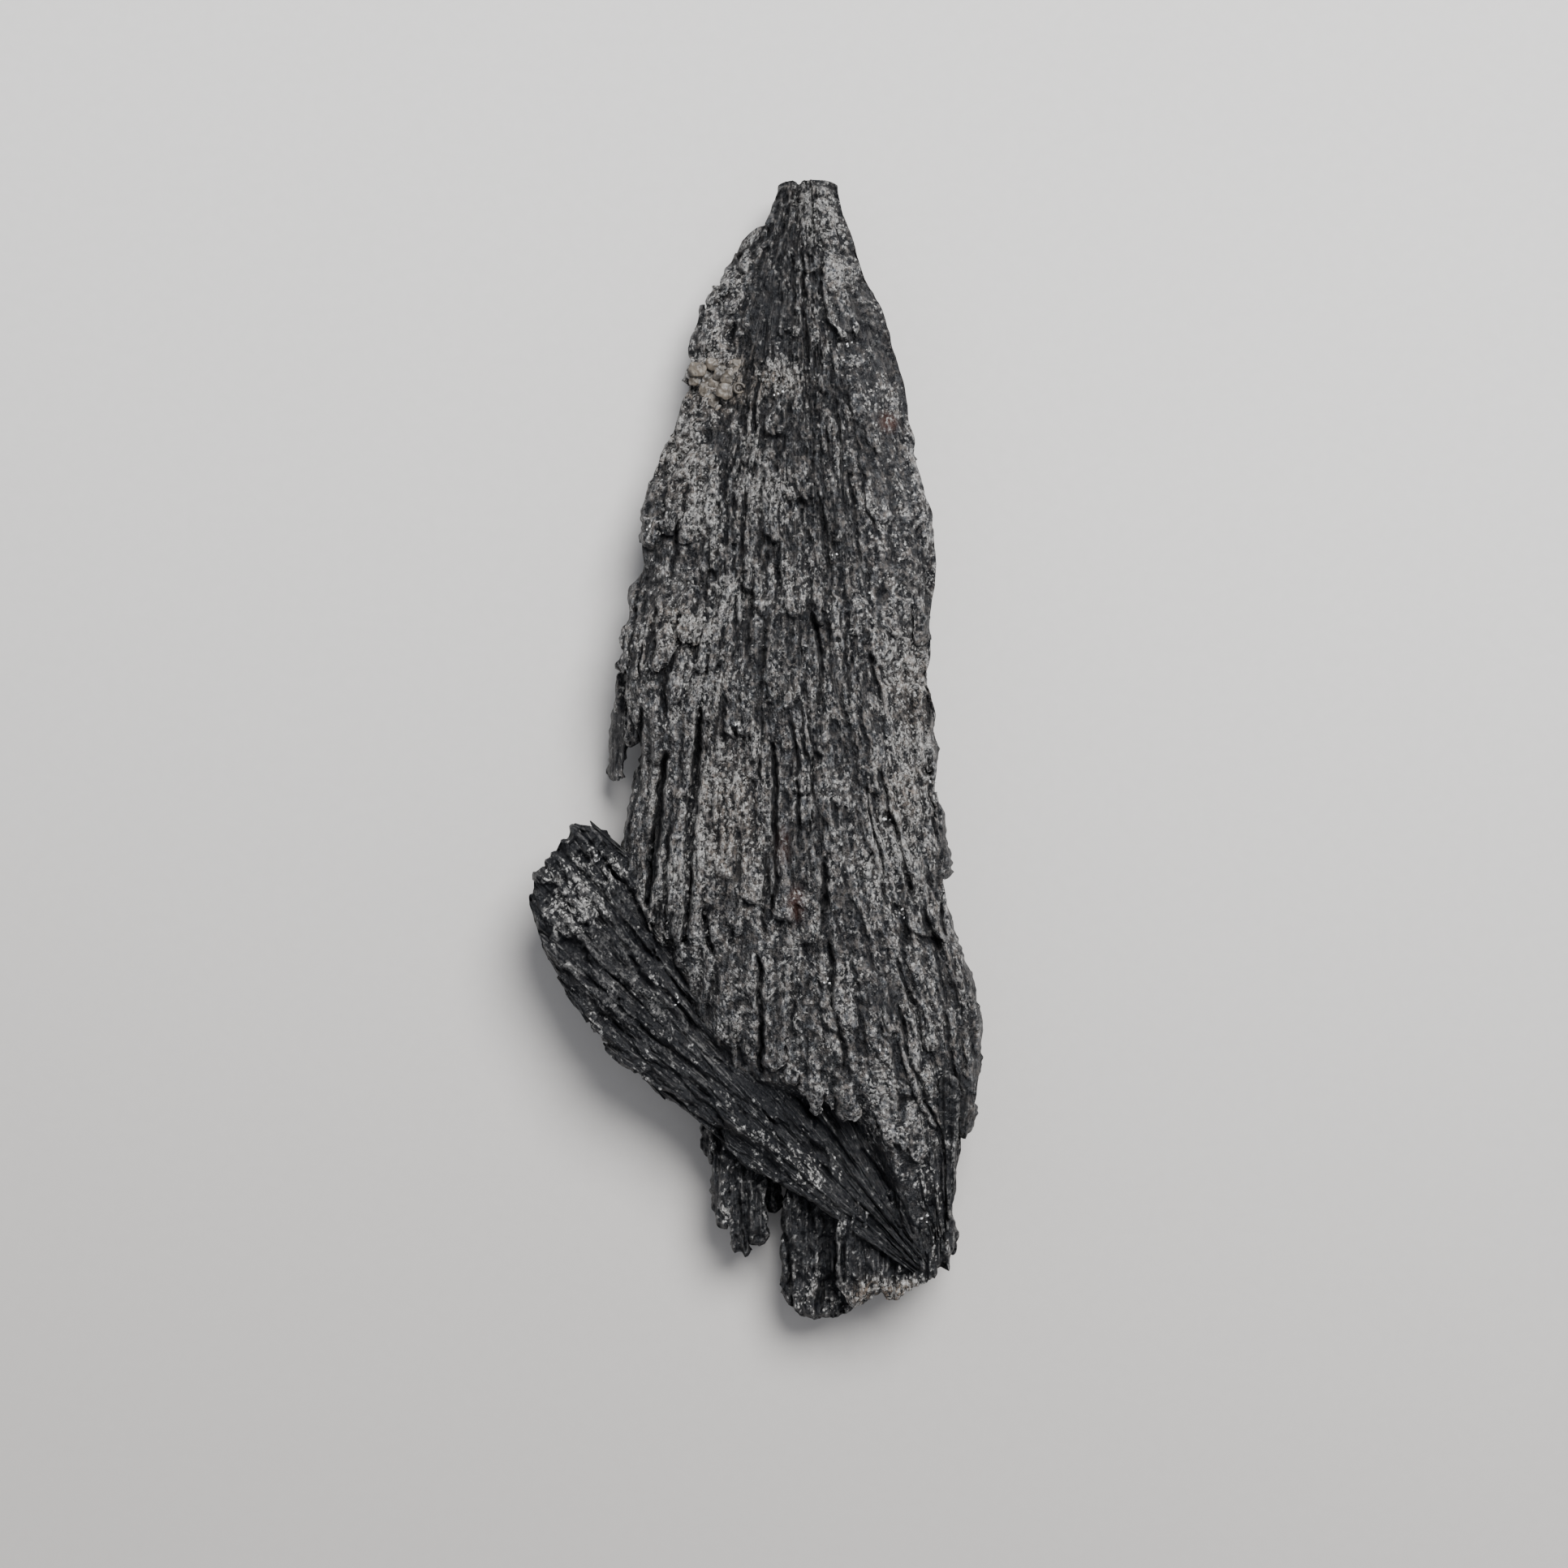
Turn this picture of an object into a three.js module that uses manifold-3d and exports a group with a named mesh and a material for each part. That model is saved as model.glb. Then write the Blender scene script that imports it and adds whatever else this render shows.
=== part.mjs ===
// A spray of black bladed crystal, lying on its flattest side, as one solid.
// The main fan opens downwards (-Y) from a narrow broken end; a second fan crosses under
// its lower left edge from a broken corner; a short foot and a side splinter hang below.
// Lengths are in millimetres, angles in degrees, +Z is up and the table is z = 0.
import * as THREE from "three";
import { mergeVertices } from "three/addons/utils/BufferGeometryUtils.js";
import Module from "manifold-3d";

const wasm = await Module();
wasm.setup();

// ---------------------------------------------------------------- driving dimensions
const BLADE_DEPTH = 1.9; // thickness of an ordinary blade
const SHINGLE_TILT = 0.085; // how fast a blade sinks under its neighbours, away from its tip
const CORE_INSET = 0.7; // the plain body inside lies this far under the blades
const EDGE_INSET = 0.2; // and this far inside the outline
const TABLE_CUT = 0.8; // the lowest blades are worn flat by this much

// Outline of the main fan from its narrow end to the foot: [y, left edge x, right edge x]
const OUTLINE = [
  [50.2, 2.1, 7.0],
  [49.0, 1.6, 7.4],
  [47.3, 1.1, 7.9],
  [44.6, 0.1, 8.7],
  [43.0, -1.2, 9.1],
  [41.6, -2.7, 9.8],
  [40.2, -3.6, 10.6],
  [37.3, -4.8, 11.5],
  [34.5, -5.5, 12.5],
  [31.6, -6.1, 13.1],
  [28.7, -7.0, 13.6],
  [25.9, -8.2, 14.2],
  [23.0, -9.3, 15.1],
  [20.2, -9.9, 15.7],
  [17.3, -9.9, 16.1],
  [14.5, -10.1, 15.8],
  [11.6, -10.8, 15.6],
  [8.7, -11.4, 15.4],
  [5.9, -11.7, 15.0],
  [3.0, -11.6, 15.7],
  [0.2, -11.2, 16.0],
  [-4.1, -11.2, 15.9],
  [-9.7, -11.2, 16.9],
  [-12.9, -10.8, 16.8],
  [-16.1, -9.0, 17.8],
  [-20.0, -6.5, 19.1],
  [-24.0, -4.6, 19.6],
  [-28.6, -1.2, 19.7],
  [-31.1, 2.5, 19.1],
  [-34.0, 5.0, 18.2],
  [-37.0, 7.0, 17.5],
  [-42.0, 9.0, 17.6],
];

// Heights down the main fan: [y, height of the crest, fall from crest to edge, height of the keel]
const PROFILE = [
  [50.2, 6.6, 1.4, 0.9],
  [43.2, 8.4, 2.2, 0.4],
  [33.2, 10.4, 3.2, 0.0],
  [23.2, 12.0, 4.0, 0.0],
  [16.0, 13.2, 4.6, 0.0],
  [6.0, 14.4, 5.2, 0.0],
  [-2.5, 15.0, 5.4, 0.0],
  [-12.5, 15.4, 5.4, 0.0],
  [-22.5, 15.0, 4.8, 0.0],
  [-29.0, 14.2, 4.2, 0.0],
  [-34.0, 13.0, 3.4, 0.1],
  [-42.0, 10.0, 2.2, 0.3],
];
const NARROW_END = 47.2; // the blades of a row end here, short of the broken narrow end
const KEEL_RISE = 3.4; // how far the underside climbs from keel to edge

// How the grain of the main fan gathers towards its narrow end: [y, lean per mm off axis, axis x]
const GRAIN = [
  [50.2, 0.12, 4.6],
  [43.2, 0.085, 3.7],
  [33.2, 0.042, 4.1],
  [23.2, 0.027, 3.9],
  [12.0, 0.02, 2.4],
  [-5.0, 0.017, 1.4],
  [-16.0, 0.021, 1.7],
  [-25.0, 0.024, 2.1],
  [-34.0, 0.042, 4.9],
];
const MOST_LEAN = 0.6;

// Blades that stand out on the upper face: [tip x, tip y, width, length, lift, own lean if any]
const SHOULDER = [
  [-4.3, 34.5, 1.9, 7.6, 0.2, -0.13],
  [-5.7, 31.6, 1.9, 8.4, 0.1, -0.16],
  [-7.0, 27.1, 1.7, 11.1, 0.0],
];
const LEFT_TIERS = [
  [-9.6, 17.2, 1.9, 13.6, 0.2],
  [-7.6, 18.3, 1.7, 10.7, 0.5],
  [-6.1, 17.5, 1.6, 8.6, 0.4],
  [-11.1, 5.9, 1.9, 10.7, 0.3],
  [-9.4, 6.2, 1.6, 7.9, 0.2],
  [-8.1, 6.5, 1.7, 4.3, 0.9],
  [-5.8, 8.8, 2.4, 5.3, 0.8],
  [-4.2, 6.3, 2.1, 5.0, 0.7],
];
const FINGERS = [
  [-12.5, -2.9, 1.6, 10.7, -1.4, -0.12],
  [-10.7, 0.2, 1.4, 9.3, -0.5],
  [-9.1, 0.6, 1.3, 8.6, -0.1],
  [-7.2, 3.2, 1.4, 5.7, 0.3],
  [-5.4, 2.1, 1.4, 5.7, 0.1],
  [-10.4, -12.8, 2.0, 13.6, -0.2],
  [-8.5, -15.4, 1.4, 15.0, 0.2],
  [-6.8, -17.2, 2.0, 16.4, 0.6],
  [-5.3, -16.8, 1.6, 16.4, 0.3],
  [-4.1, -14.5, 0.9, 8.6, 0.1],
];
const LOWER_ROW = [
  [-2.7, -25.8, 1.9, 12.1, 0.1],
  [-1.2, -26.8, 1.4, 12.1, -0.1],
  [0.0, -27.7, 1.0, 10.7, -0.3],
  [1.6, -28.1, 1.9, 13.6, 0.5],
  [3.2, -29.3, 1.3, 11.4, 0.3],
  [4.3, -30.4, 1.1, 10.7, 0.1],
  [5.4, -31.8, 1.1, 11.4, 0.3],
  [6.5, -31.1, 1.1, 10.7, -0.1],
  [8.2, -31.8, 1.9, 12.1, 0.1],
  [9.9, -32.4, 1.4, 10.7, 0.0],
  [11.8, -32.9, 1.6, 10.7, 0.0],
  [13.6, -33.4, 1.6, 11.4, 0.1],
];
const LEDGES = [
  [7.9, 35.5, 3.0, 10.0, 0.7],
  [5.1, 33.9, 1.1, 12.1, 0.3],
  [3.5, 21.0, 3.1, 8.6, 0.6],
  [1.2, 17.3, 2.1, 8.6, 0.5],
  [-0.4, 12.6, 2.0, 7.9, 0.5],
  [3.2, 10.6, 1.9, 7.9, 0.5],
  [5.3, 10.5, 1.1, 7.1, 0.4],
  [11.7, 9.5, 1.7, 7.9, 0.4],
  [-2.6, 6.9, 2.0, 8.6, 0.4],
  [-1.1, 0.5, 2.7, 8.6, 0.6],
  [2.3, 2.7, 2.9, 7.9, 0.5],
  [4.3, -4.5, 1.6, 9.3, 0.6],
  [8.5, 2.3, 2.0, 7.9, 0.4],
  [10.1, -4.5, 1.7, 9.3, 0.6],
  [7.1, -8.2, 1.4, 8.6, 0.4],
  [2.5, -15.4, 1.9, 13.6, 0.7],
  [-0.4, -14.0, 2.1, 14.3, 0.5],
  [-1.9, -16.1, 1.6, 11.4, 0.4],
  [8.1, -24.7, 2.0, 17.1, 0.4],
  [11.4, -24.7, 1.9, 9.3, 0.3],
];
const FORK = [
  [9.5, -20.8, 2.4, 18.6, 0.4, 0.03],
  [15.5, -17.2, 3.1, 12.5, 0.6, 0.36],
];
const RIGHT_EDGE = [
  [14.8, 8.7, 1.6, 8.6, 0.2],
  [15.6, -2.3, 1.3, 8.6, -0.4],
  [16.9, -11.6, 1.6, 7.9, -0.3],
  [18.5, -23.0, 1.6, 8.0, -0.3],
  [19.2, -29.6, 1.4, 12.1, 0.0],
  [18.4, -33.9, 1.4, 16.4, 0.1],
  [16.7, -32.9, 1.7, 14.3, 0.3],
  [15.1, -30.4, 1.7, 10.7, 0.3],
];

// The crossing fan spreads from a broken corner; its rounded far end: [angle, reach]
const CORNER = [16.7, -47.5];
const CROSS_END = [
  [54.4, 46.5],
  [53.6, 50.6],
  [52.8, 52.4],
  [51.6, 53.3],
  [50.5, 52.4],
  [49.5, 52.5],
  [48.0, 51.8],
  [46.6, 51.6],
  [45.3, 51.8],
  [44.3, 51.2],
  [43.3, 50.0],
  [41.4, 48.4],
  [39.9, 45.1],
  [38.4, 42.8],
  [36.7, 39.2],
  [35.5, 32.0],
  [34.8, 25.7],
  [33.6, 20.0],
];
const CROSS_RAYS = 13; // blades side by side across the crossing fan's face
const CROSS_TOP = 9.6; // height of the crossing fan's upper face
const CROSS_DEPTH = 4.4;

// ---------------------------------------------------------------- small helpers
// Repeatable numbers from 0 to 1.
function dice(seed) {
  let state = seed;
  return () => {
    state = (state * 1664525 + 1013904223) % 4294967296;
    return state / 4294967296;
  };
}

// The row of a table at y, with each column interpolated; y falls down the table.
function station(table, y) {
  const after = table.findIndex((row) => row[0] <= y);
  if (after === 0) return table[0];
  if (after < 0) return table[table.length - 1];
  const [high, low] = [table[after - 1], table[after]];
  const t = (high[0] - y) / (high[0] - low[0]);
  return high.map((value, i) => value + (low[i] - value) * t);
}

function fanWidth(y) {
  const [, left, right] = station(OUTLINE, y);
  return right - left;
}

// How far off the middle line a point lies: 0 on it, 1 at either edge.
function offMiddle(x, y) {
  const [, left, right] = station(OUTLINE, y);
  return Math.min(1.25, Math.abs(x - (left + right) / 2) / ((right - left) / 2));
}

// Height of the main fan's upper face: highest on the crest, falling to both edges.
function upperFace(x, y) {
  const [, crest, fall] = station(PROFILE, y);
  return crest - fall * offMiddle(x, y) ** 2.4;
}

// Height of the main fan's underside: lowest on the keel, climbing to both edges.
function underFace(x, y) {
  const [, , , keel] = station(PROFILE, y);
  return keel + KEEL_RISE * offMiddle(x, y) ** 2 - TABLE_CUT;
}

// Sideways lean of the grain at a point, as dx for each mm downwards. Inside the fan it gathers
// towards an axis, and at each edge it follows the outline, never turning back inwards.
function grainLean(x, y) {
  const [, gather, axis] = station(GRAIN, y);
  const inner = THREE.MathUtils.clamp(gather * (x - axis), -MOST_LEAN, MOST_LEAN);
  const edge = x < axis ? 1 : 2;
  const reach = 3;
  const drift = (station(OUTLINE, y - reach)[edge] - station(OUTLINE, y + reach)[edge]) / (2 * reach);
  const outer = edge === 1 ? Math.min(0, drift) : Math.max(0, drift);
  return THREE.MathUtils.lerp(inner, outer, THREE.MathUtils.smoothstep(offMiddle(x, y), 0.6, 0.95));
}

// A closed solid through rings of points, each ring in the same order.
function loft(rings) {
  const size = rings[0].length;
  const positions = rings.flat().flatMap((p) => [p.x, p.y, p.z]);
  const index = [];
  for (let r = 0; r + 1 < rings.length; r++)
    for (let i = 0; i < size; i++) {
      const j = (i + 1) % size;
      const [a, b, c, d] = [r * size + i, r * size + j, (r + 1) * size + j, (r + 1) * size + i];
      index.push(a, b, c, a, c, d);
    }
  const last = (rings.length - 1) * size;
  for (let i = 1; i + 1 < size; i++) {
    index.push(0, i + 1, i);
    index.push(last, last + i, last + i + 1);
  }
  const geometry = new THREE.BufferGeometry();
  geometry.setAttribute("position", new THREE.Float32BufferAttribute(positions, 3));
  geometry.setIndex(index);
  return geometry;
}

// A closed geometry as a manifold-3d solid, turned to face outwards.
function solidOf(geometry) {
  const bare = new THREE.BufferGeometry();
  bare.setAttribute("position", geometry.getAttribute("position"));
  bare.setIndex(geometry.index);
  const merged = mergeVertices(bare, 1e-4);
  const mesh = (flip) => {
    const triVerts = new Uint32Array(merged.index.array);
    if (flip)
      for (let i = 0; i < triVerts.length; i += 3)
        [triVerts[i + 1], triVerts[i + 2]] = [triVerts[i + 2], triVerts[i + 1]];
    const vertProperties = merged.attributes.position.array;
    return new wasm.Manifold(new wasm.Mesh({ numProp: 3, vertProperties, triVerts }));
  };
  const solid = mesh(false);
  return solid.volume() > 0 ? solid : mesh(true);
}

// ---------------------------------------------------------------- one blade
// Share of the length from the tip, share of the width and share of the depth at each ring.
const LONG_RINGS = [
  [0, 0.78, 0.8],
  [0.45, 1, 1],
  [1, 0.85, 1],
];
const SHORT_RINGS = [
  [0, 0.85, 0.9],
  [1, 0.95, 1],
];
const LONG_BLADE = 11.5; // a blade longer than this follows the curve of the fan

// path(share) gives the middle of the blade's face as a Vector3, face(x, y) the height there, and
// taper is the width at the root as a share of the width at the tip.
function blade({ path, face, width, depth, roll, slant, taper = 1, bent = true, side = 1 }) {
  const long = bent && path(0).distanceTo(path(1)) > LONG_BLADE;
  const rings = (long ? LONG_RINGS : SHORT_RINGS).map(([share, full, deep]) => {
    const wide = full * (1 + (taper - 1) * share);
    const at = path(share);
    const ahead = path(Math.min(1, share + 0.02));
    const behind = path(Math.max(0, share - 0.02));
    const along = new THREE.Vector2(ahead.x - behind.x, ahead.y - behind.y).normalize();
    const across = new THREE.Vector2(along.y, -along.x);
    const slide = share === 0 ? slant : 0;
    const point = (off, drop) => {
      const x = at.x + across.x * off * width * wide + along.x * slide * off * width;
      const y = at.y + across.y * off * width * wide + along.y * slide * off * width;
      const z = face(x, y, share) + side * (roll * off * width - drop * depth * deep);
      return new THREE.Vector3(x, y, z);
    };
    return [point(-0.42, 0), point(0.42, 0), point(0.5, 1), point(-0.5, 1)];
  });
  return solidOf(loft(rings));
}

// A blade of the main fan, traced back from its tip along the grain.
function fanBlade([tipX, tipY, width, length, lift, lean], random, side = 1) {
  const steps = 8;
  const points = [new THREE.Vector3(tipX, tipY, 0)];
  for (let i = 0; i < steps; i++) {
    const { x, y } = points[i];
    points.push(new THREE.Vector3(x - (lean ?? grainLean(x, y)) * (length / steps), y + length / steps, 0));
  }
  const curve = new THREE.CatmullRomCurve3(points);
  const face = (x, y, share) =>
    (side > 0 ? upperFace(x, y) : underFace(x, y)) + side * (lift - SHINGLE_TILT * length * share);
  const roll = (random() - 0.5) * 0.24;
  const slant = (random() - 0.5) * 0.9;
  const taper = Math.max(0.45, fanWidth(tipY + length) / fanWidth(tipY));
  const path = (share) => curve.getPoint(share);
  return blade({ path, face, width, depth: BLADE_DEPTH, roll, slant, taper, side });
}

// ---------------------------------------------------------------- the main fan
// The plain body that carries the blades, lofted through the outline.
function fanCore() {
  const across = [-1, -0.8, -0.45, 0, 0.45, 0.8, 1];
  const acrossBelow = [0.9, 0.35, -0.35, -0.9];
  const rings = OUTLINE.map(([y, left, right]) => {
    const [, crest, fall, keel] = station(PROFILE, y);
    const at = (off, z) =>
      new THREE.Vector3((left + right) / 2 + off * ((right - left) / 2 - EDGE_INSET), y, z);
    return [
      ...across.map((off) => at(off, crest - fall * Math.abs(off) ** 2.4 - CORE_INSET)),
      ...acrossBelow.map((off) => at(off, keel + KEEL_RISE * off ** 2 + 0.6)),
    ];
  });
  return solidOf(loft(rings));
}

// Ordinary blades in rows across a face, each row's tips lying over the next row. None is laid
// where a blade of its own already has its tip.
function fanRows(rows, spacing, side, seed, taken = []) {
  const random = dice(seed);
  const solids = [];
  for (const row of rows) {
    const [, left, right] = station(OUTLINE, row);
    const count = Math.round((right - left - 1.4) / spacing);
    const pitch = (right - left - 1.4) / count;
    for (let i = 0; i < count; i++) {
      const x = left + 0.7 + (i + 0.5 + (random() - 0.5) * 0.5) * pitch;
      const y = row + (random() - 0.5) * 4;
      const width = pitch * (0.9 + random() * 0.5);
      const length = Math.min(9 + random() * 4, NARROW_END - y - random());
      const lift = (random() - 0.7) * 0.6;
      if (taken.some(([tx, ty]) => Math.abs(tx - x) < 1.5 && ty - y > -5 && ty - y < 4)) continue;
      solids.push(fanBlade([x, y, width, length, lift], random, side));
    }
  }
  return solids;
}

// Blades that show edge-on along both flanks, one above the other.
function fanFlanks(seed) {
  const random = dice(seed);
  const solids = [];
  for (let y = 38; y > -28; y -= 14)
    for (const flank of [-1, 1]) {
      const tipY = y - random() * 4;
      const [, left, right] = station(OUTLINE, tipY);
      const x = flank < 0 ? left + 1.1 : right - 1.1;
      const low = underFace(x, tipY) + 1.6;
      const high = upperFace(x, tipY) - 1.2;
      const lift = low + (high - low) * (0.4 + random() * 0.4) - upperFace(x, tipY);
      const length = Math.min(10 + random() * 3, NARROW_END - tipY);
      solids.push(fanBlade([x, tipY, 2.8, length, lift], random));
    }
  return solids;
}

function mainFan() {
  const random = dice(11);
  const marked = [SHOULDER, LEFT_TIERS, FINGERS, LOWER_ROW, LEDGES, FORK, RIGHT_EDGE].flat();
  return [
    fanCore(),
    ...marked.map((row) => fanBlade(row, random)),
    ...fanRows([40, 31, 21, 12, 3, -6, -15, -23], 4.6, 1, 21, marked),
    ...fanRows([40, 27, 14, 1, -12, -24], 7.0, -1, 31),
    ...fanFlanks(41),
  ];
}

// ---------------------------------------------------------------- the crossing fan
// A blade along a ray from the broken corner; slant moves one corner of its tip outwards.
function rayBlade({ angle, reach, start, width, top, lift, depth, slant = 0, taper = 0.5, random }) {
  const turn = THREE.MathUtils.degToRad(180 - angle);
  const direction = new THREE.Vector2(Math.cos(turn), Math.sin(turn));
  const bow = (random() - 0.5) * 0.8;
  const path = (share) => {
    const r = reach + (start - reach) * share;
    const aside = bow * Math.sin(Math.PI * share);
    return new THREE.Vector3(
      CORNER[0] + direction.x * r - direction.y * aside,
      CORNER[1] + direction.y * r + direction.x * aside,
      0,
    );
  };
  const face = (x, y, share) => top(Math.hypot(x - CORNER[0], y - CORNER[1])) + lift - 0.3 * share;
  const roll = (random() - 0.5) * 0.2;
  return blade({ path, face, width, depth, roll, slant, taper });
}

// One blade of the crossing fan, its tip cut along the fan's rounded end.
function crossRay(angle, halfAngle, shape) {
  const turns = [angle + halfAngle, angle - halfAngle];
  const [upper, lower] = turns.map((turn) => station(CROSS_END, turn)[1]);
  const reach = (upper + lower) / 2 - (shape.short ?? 0);
  const width = 2 * reach * Math.tan(THREE.MathUtils.degToRad(halfAngle));
  return rayBlade({ ...shape, angle, reach, width: width * 1.15, slant: (upper - lower) / width });
}

function crossFan() {
  const random = dice(51);
  const solids = [];
  const top = (r) => CROSS_TOP + 0.9 * Math.sin((Math.PI * Math.min(r, 54)) / 54);
  const half = (54.6 - 34.6) / CROSS_RAYS / 2;
  for (let i = 0; i < CROSS_RAYS; i++) {
    const angle = 34.6 + (2 * i + 1) * half;
    const lift = 0.6 * random() - 1.6 * ((i - 6.5) / 6.5) ** 2;
    const shape = { start: 1, top, lift, depth: 2.8, taper: 0.35, random, short: 0.7 * random() };
    solids.push(crossRay(angle, half, shape));
    // a broader blade underneath every second one, ending a little short of it
    if (i % 2 === 0) continue;
    const lower = { ...shape, lift: lift * 0.5 - 2.2, depth: CROSS_DEPTH - 2.2, short: 1 + random() };
    solids.push(crossRay(angle, half * 1.8, lower));
  }
  // shorter blades on the upper face, so that it steps down towards the corner
  for (let i = 0; i < 6; i++) {
    const angle = 38.5 + i * 2.4;
    const reach = 20 + 22 * random();
    const lift = 0.7 - 0.1 * Math.abs(angle - 44);
    const slant = random() - 0.5;
    solids.push(rayBlade({ angle, reach, start: 6, width: 1.7, top, lift, depth: 1.8, slant, random }));
  }
  return solids;
}

// Blades of the same corner that stand up under the main fan's last tips.
function cornerRays() {
  const random = dice(61);
  const solids = [];
  for (let i = 0; i < 9; i++) {
    const angle = 55.5 + i * 4.2;
    const top = (r) => 9.0 + (0.06 + 0.017 * i) * r;
    const lift = -0.3 + 0.5 * random();
    const reach = Math.max(18, 29 - 0.5 * (angle - 55.5)) + 2 * random();
    const shape = { angle, reach, start: 0.5, width: 2.6, taper: 0.3 };
    solids.push(rayBlade({ ...shape, top, lift, depth: 6.5, random }));
  }
  return solids;
}

// ---------------------------------------------------------------- foot, base and side splinter
// A straight blade between two plan points, with its own heights at tip and root.
function straightBlade({ tip, root, width, top, depth, random }) {
  const path = (share) =>
    new THREE.Vector3(tip[0] + (root[0] - tip[0]) * share, tip[1] + (root[1] - tip[1]) * share, 0);
  const face = (x, y, share) => top[0] + (top[1] - top[0]) * share;
  const roll = (random() - 0.5) * 0.2;
  const slant = (random() - 0.5) * 0.7;
  return blade({ path, face, width, depth, roll, slant, bent: false });
}

const FOOT_TIPS = [
  [2.9, -47.6],
  [3.9, -49.1],
  [5.0, -49.8],
  [6.2, -50.2],
  [7.4, -49.8],
  [8.6, -48.9],
];
const BASE_TIPS = [
  [10.3, -48.2],
  [12.1, -48.1],
  [13.6, -47.4],
  [15.1, -46.7],
  [16.5, -45.8],
  [17.4, -44.6],
];
const SIDE_TIPS = [
  [-3.7, -36.6],
  [-2.7, -42.4],
  [-1.3, -44.8],
  [0.1, -43.9],
  [1.3, -41.0],
];

function footAndBase() {
  const random = dice(71);
  const solids = [];
  FOOT_TIPS.forEach(([x, y], i) => {
    const root = [x + 0.4, -35];
    solids.push(straightBlade({ tip: [x, y], root, width: 1.7, top: [5.6, 8.2], depth: 4.4, random }));
    if (i % 2 === 0) return;
    const under = { tip: [x - 0.3, y + 0.8], root, width: 3.4, top: [3.0, 4.6], depth: 3.4 };
    solids.push(straightBlade({ ...under, random }));
  });
  BASE_TIPS.forEach(([x, y], i) => {
    const root = [x - 1.5, y + 9];
    solids.push(straightBlade({ tip: [x, y], root, width: 2.5, top: [6.6, 9.2], depth: 4.6, random }));
    if (i % 2 === 0) return;
    const under = { tip: [x - 0.7, y + 1], root, width: 3.6, top: [3.2, 5.5], depth: 3.8 };
    solids.push(straightBlade({ ...under, random }));
  });
  return solids;
}

function sideSplinter() {
  const random = dice(81);
  return SIDE_TIPS.map(([x, y], i) => {
    const deep = i === SIDE_TIPS.length - 1 ? 1.6 : 0; // the last one lies in the recess by the foot
    const shape = { tip: [x, y], root: [x - 0.6, -29], width: 1.6 };
    return straightBlade({ ...shape, top: [6.0 - deep, 7.6 - deep], depth: 3.6, random });
  });
}

// ---------------------------------------------------------------- the whole spray
function spray() {
  const solids = [...mainFan(), ...crossFan(), ...cornerRays(), ...footAndBase(), ...sideSplinter()];
  const whole = wasm.Manifold.union(solids);
  const table = new THREE.BoxGeometry(200, 200, 20).translate(0, 0, -10);
  return whole.subtract(solidOf(table));
}

// The triangles of the outer shell alone, which fills any small hollow shut in between blades.
function outerShell(triVerts, numVert) {
  const parent = Uint32Array.from({ length: numVert }, (_, i) => i);
  const find = (i) => {
    while (parent[i] !== i) i = parent[i] = parent[parent[i]];
    return i;
  };
  for (let i = 0; i < triVerts.length; i += 3) {
    parent[find(triVerts[i + 1])] = find(triVerts[i]);
    parent[find(triVerts[i + 2])] = find(triVerts[i]);
  }
  const shells = new Map();
  for (let i = 0; i < triVerts.length; i += 3) {
    const shell = find(triVerts[i]);
    if (!shells.has(shell)) shells.set(shell, []);
    shells.get(shell).push(triVerts[i], triVerts[i + 1], triVerts[i + 2]);
  }
  return [...shells.values()].reduce((a, b) => (b.length > a.length ? b : a));
}

// The solid as a geometry whose footprint is centred on the origin.
function centredGeometry(solid) {
  const { numProp, vertProperties, triVerts, numVert } = solid.getMesh();
  const positions = new Float32Array(numVert * 3);
  for (let i = 0; i < numVert; i++) {
    const from = i * numProp;
    positions.set(vertProperties.subarray(from, from + 3), i * 3);
  }
  const geometry = new THREE.BufferGeometry();
  geometry.setAttribute("position", new THREE.BufferAttribute(positions, 3));
  geometry.setIndex(outerShell(triVerts, numVert));
  geometry.computeBoundingBox();
  const { min, max } = geometry.boundingBox;
  return geometry.translate(-(min.x + max.x) / 2, -(min.y + max.y) / 2, -min.z);
}

const crystal = new THREE.MeshStandardMaterial({
  color: 0x2b2b2e,
  roughness: 0.62,
  metalness: 0,
  flatShading: true,
});
const fan = new THREE.Mesh(centredGeometry(spray()), crystal);
fan.name = "crystal_fan";

const part = new THREE.Group();
part.add(fan);
export default part;
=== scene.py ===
"""A spray of black bladed crystal on a pale table, seen from straight above.

The stone is made of dense closed solids: a body for each stretch of the main fan, whose upper face
steps down at the ragged end of each blade that lies on it, and separate blades wherever a tip stands
free. Every piece stands for the CAD node crystal_fan. Lengths are in millimetres until the meshes
are made, and angles in degrees where they stand in a table.
"""

import math

import bpy
import numpy as np
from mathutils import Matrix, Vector


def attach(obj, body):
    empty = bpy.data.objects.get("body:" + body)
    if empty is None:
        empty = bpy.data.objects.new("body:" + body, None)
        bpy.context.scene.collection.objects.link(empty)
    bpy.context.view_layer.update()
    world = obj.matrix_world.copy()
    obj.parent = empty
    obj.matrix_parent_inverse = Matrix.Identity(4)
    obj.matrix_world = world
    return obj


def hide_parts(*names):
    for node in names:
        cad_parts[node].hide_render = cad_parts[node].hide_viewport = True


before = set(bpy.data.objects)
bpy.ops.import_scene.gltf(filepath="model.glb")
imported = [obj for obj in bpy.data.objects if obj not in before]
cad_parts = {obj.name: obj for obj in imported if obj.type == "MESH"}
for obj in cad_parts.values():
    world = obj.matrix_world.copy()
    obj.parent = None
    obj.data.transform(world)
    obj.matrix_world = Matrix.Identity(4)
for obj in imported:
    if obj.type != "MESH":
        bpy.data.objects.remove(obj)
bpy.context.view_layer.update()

MM = 0.001
NODE = "crystal_fan"

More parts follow.
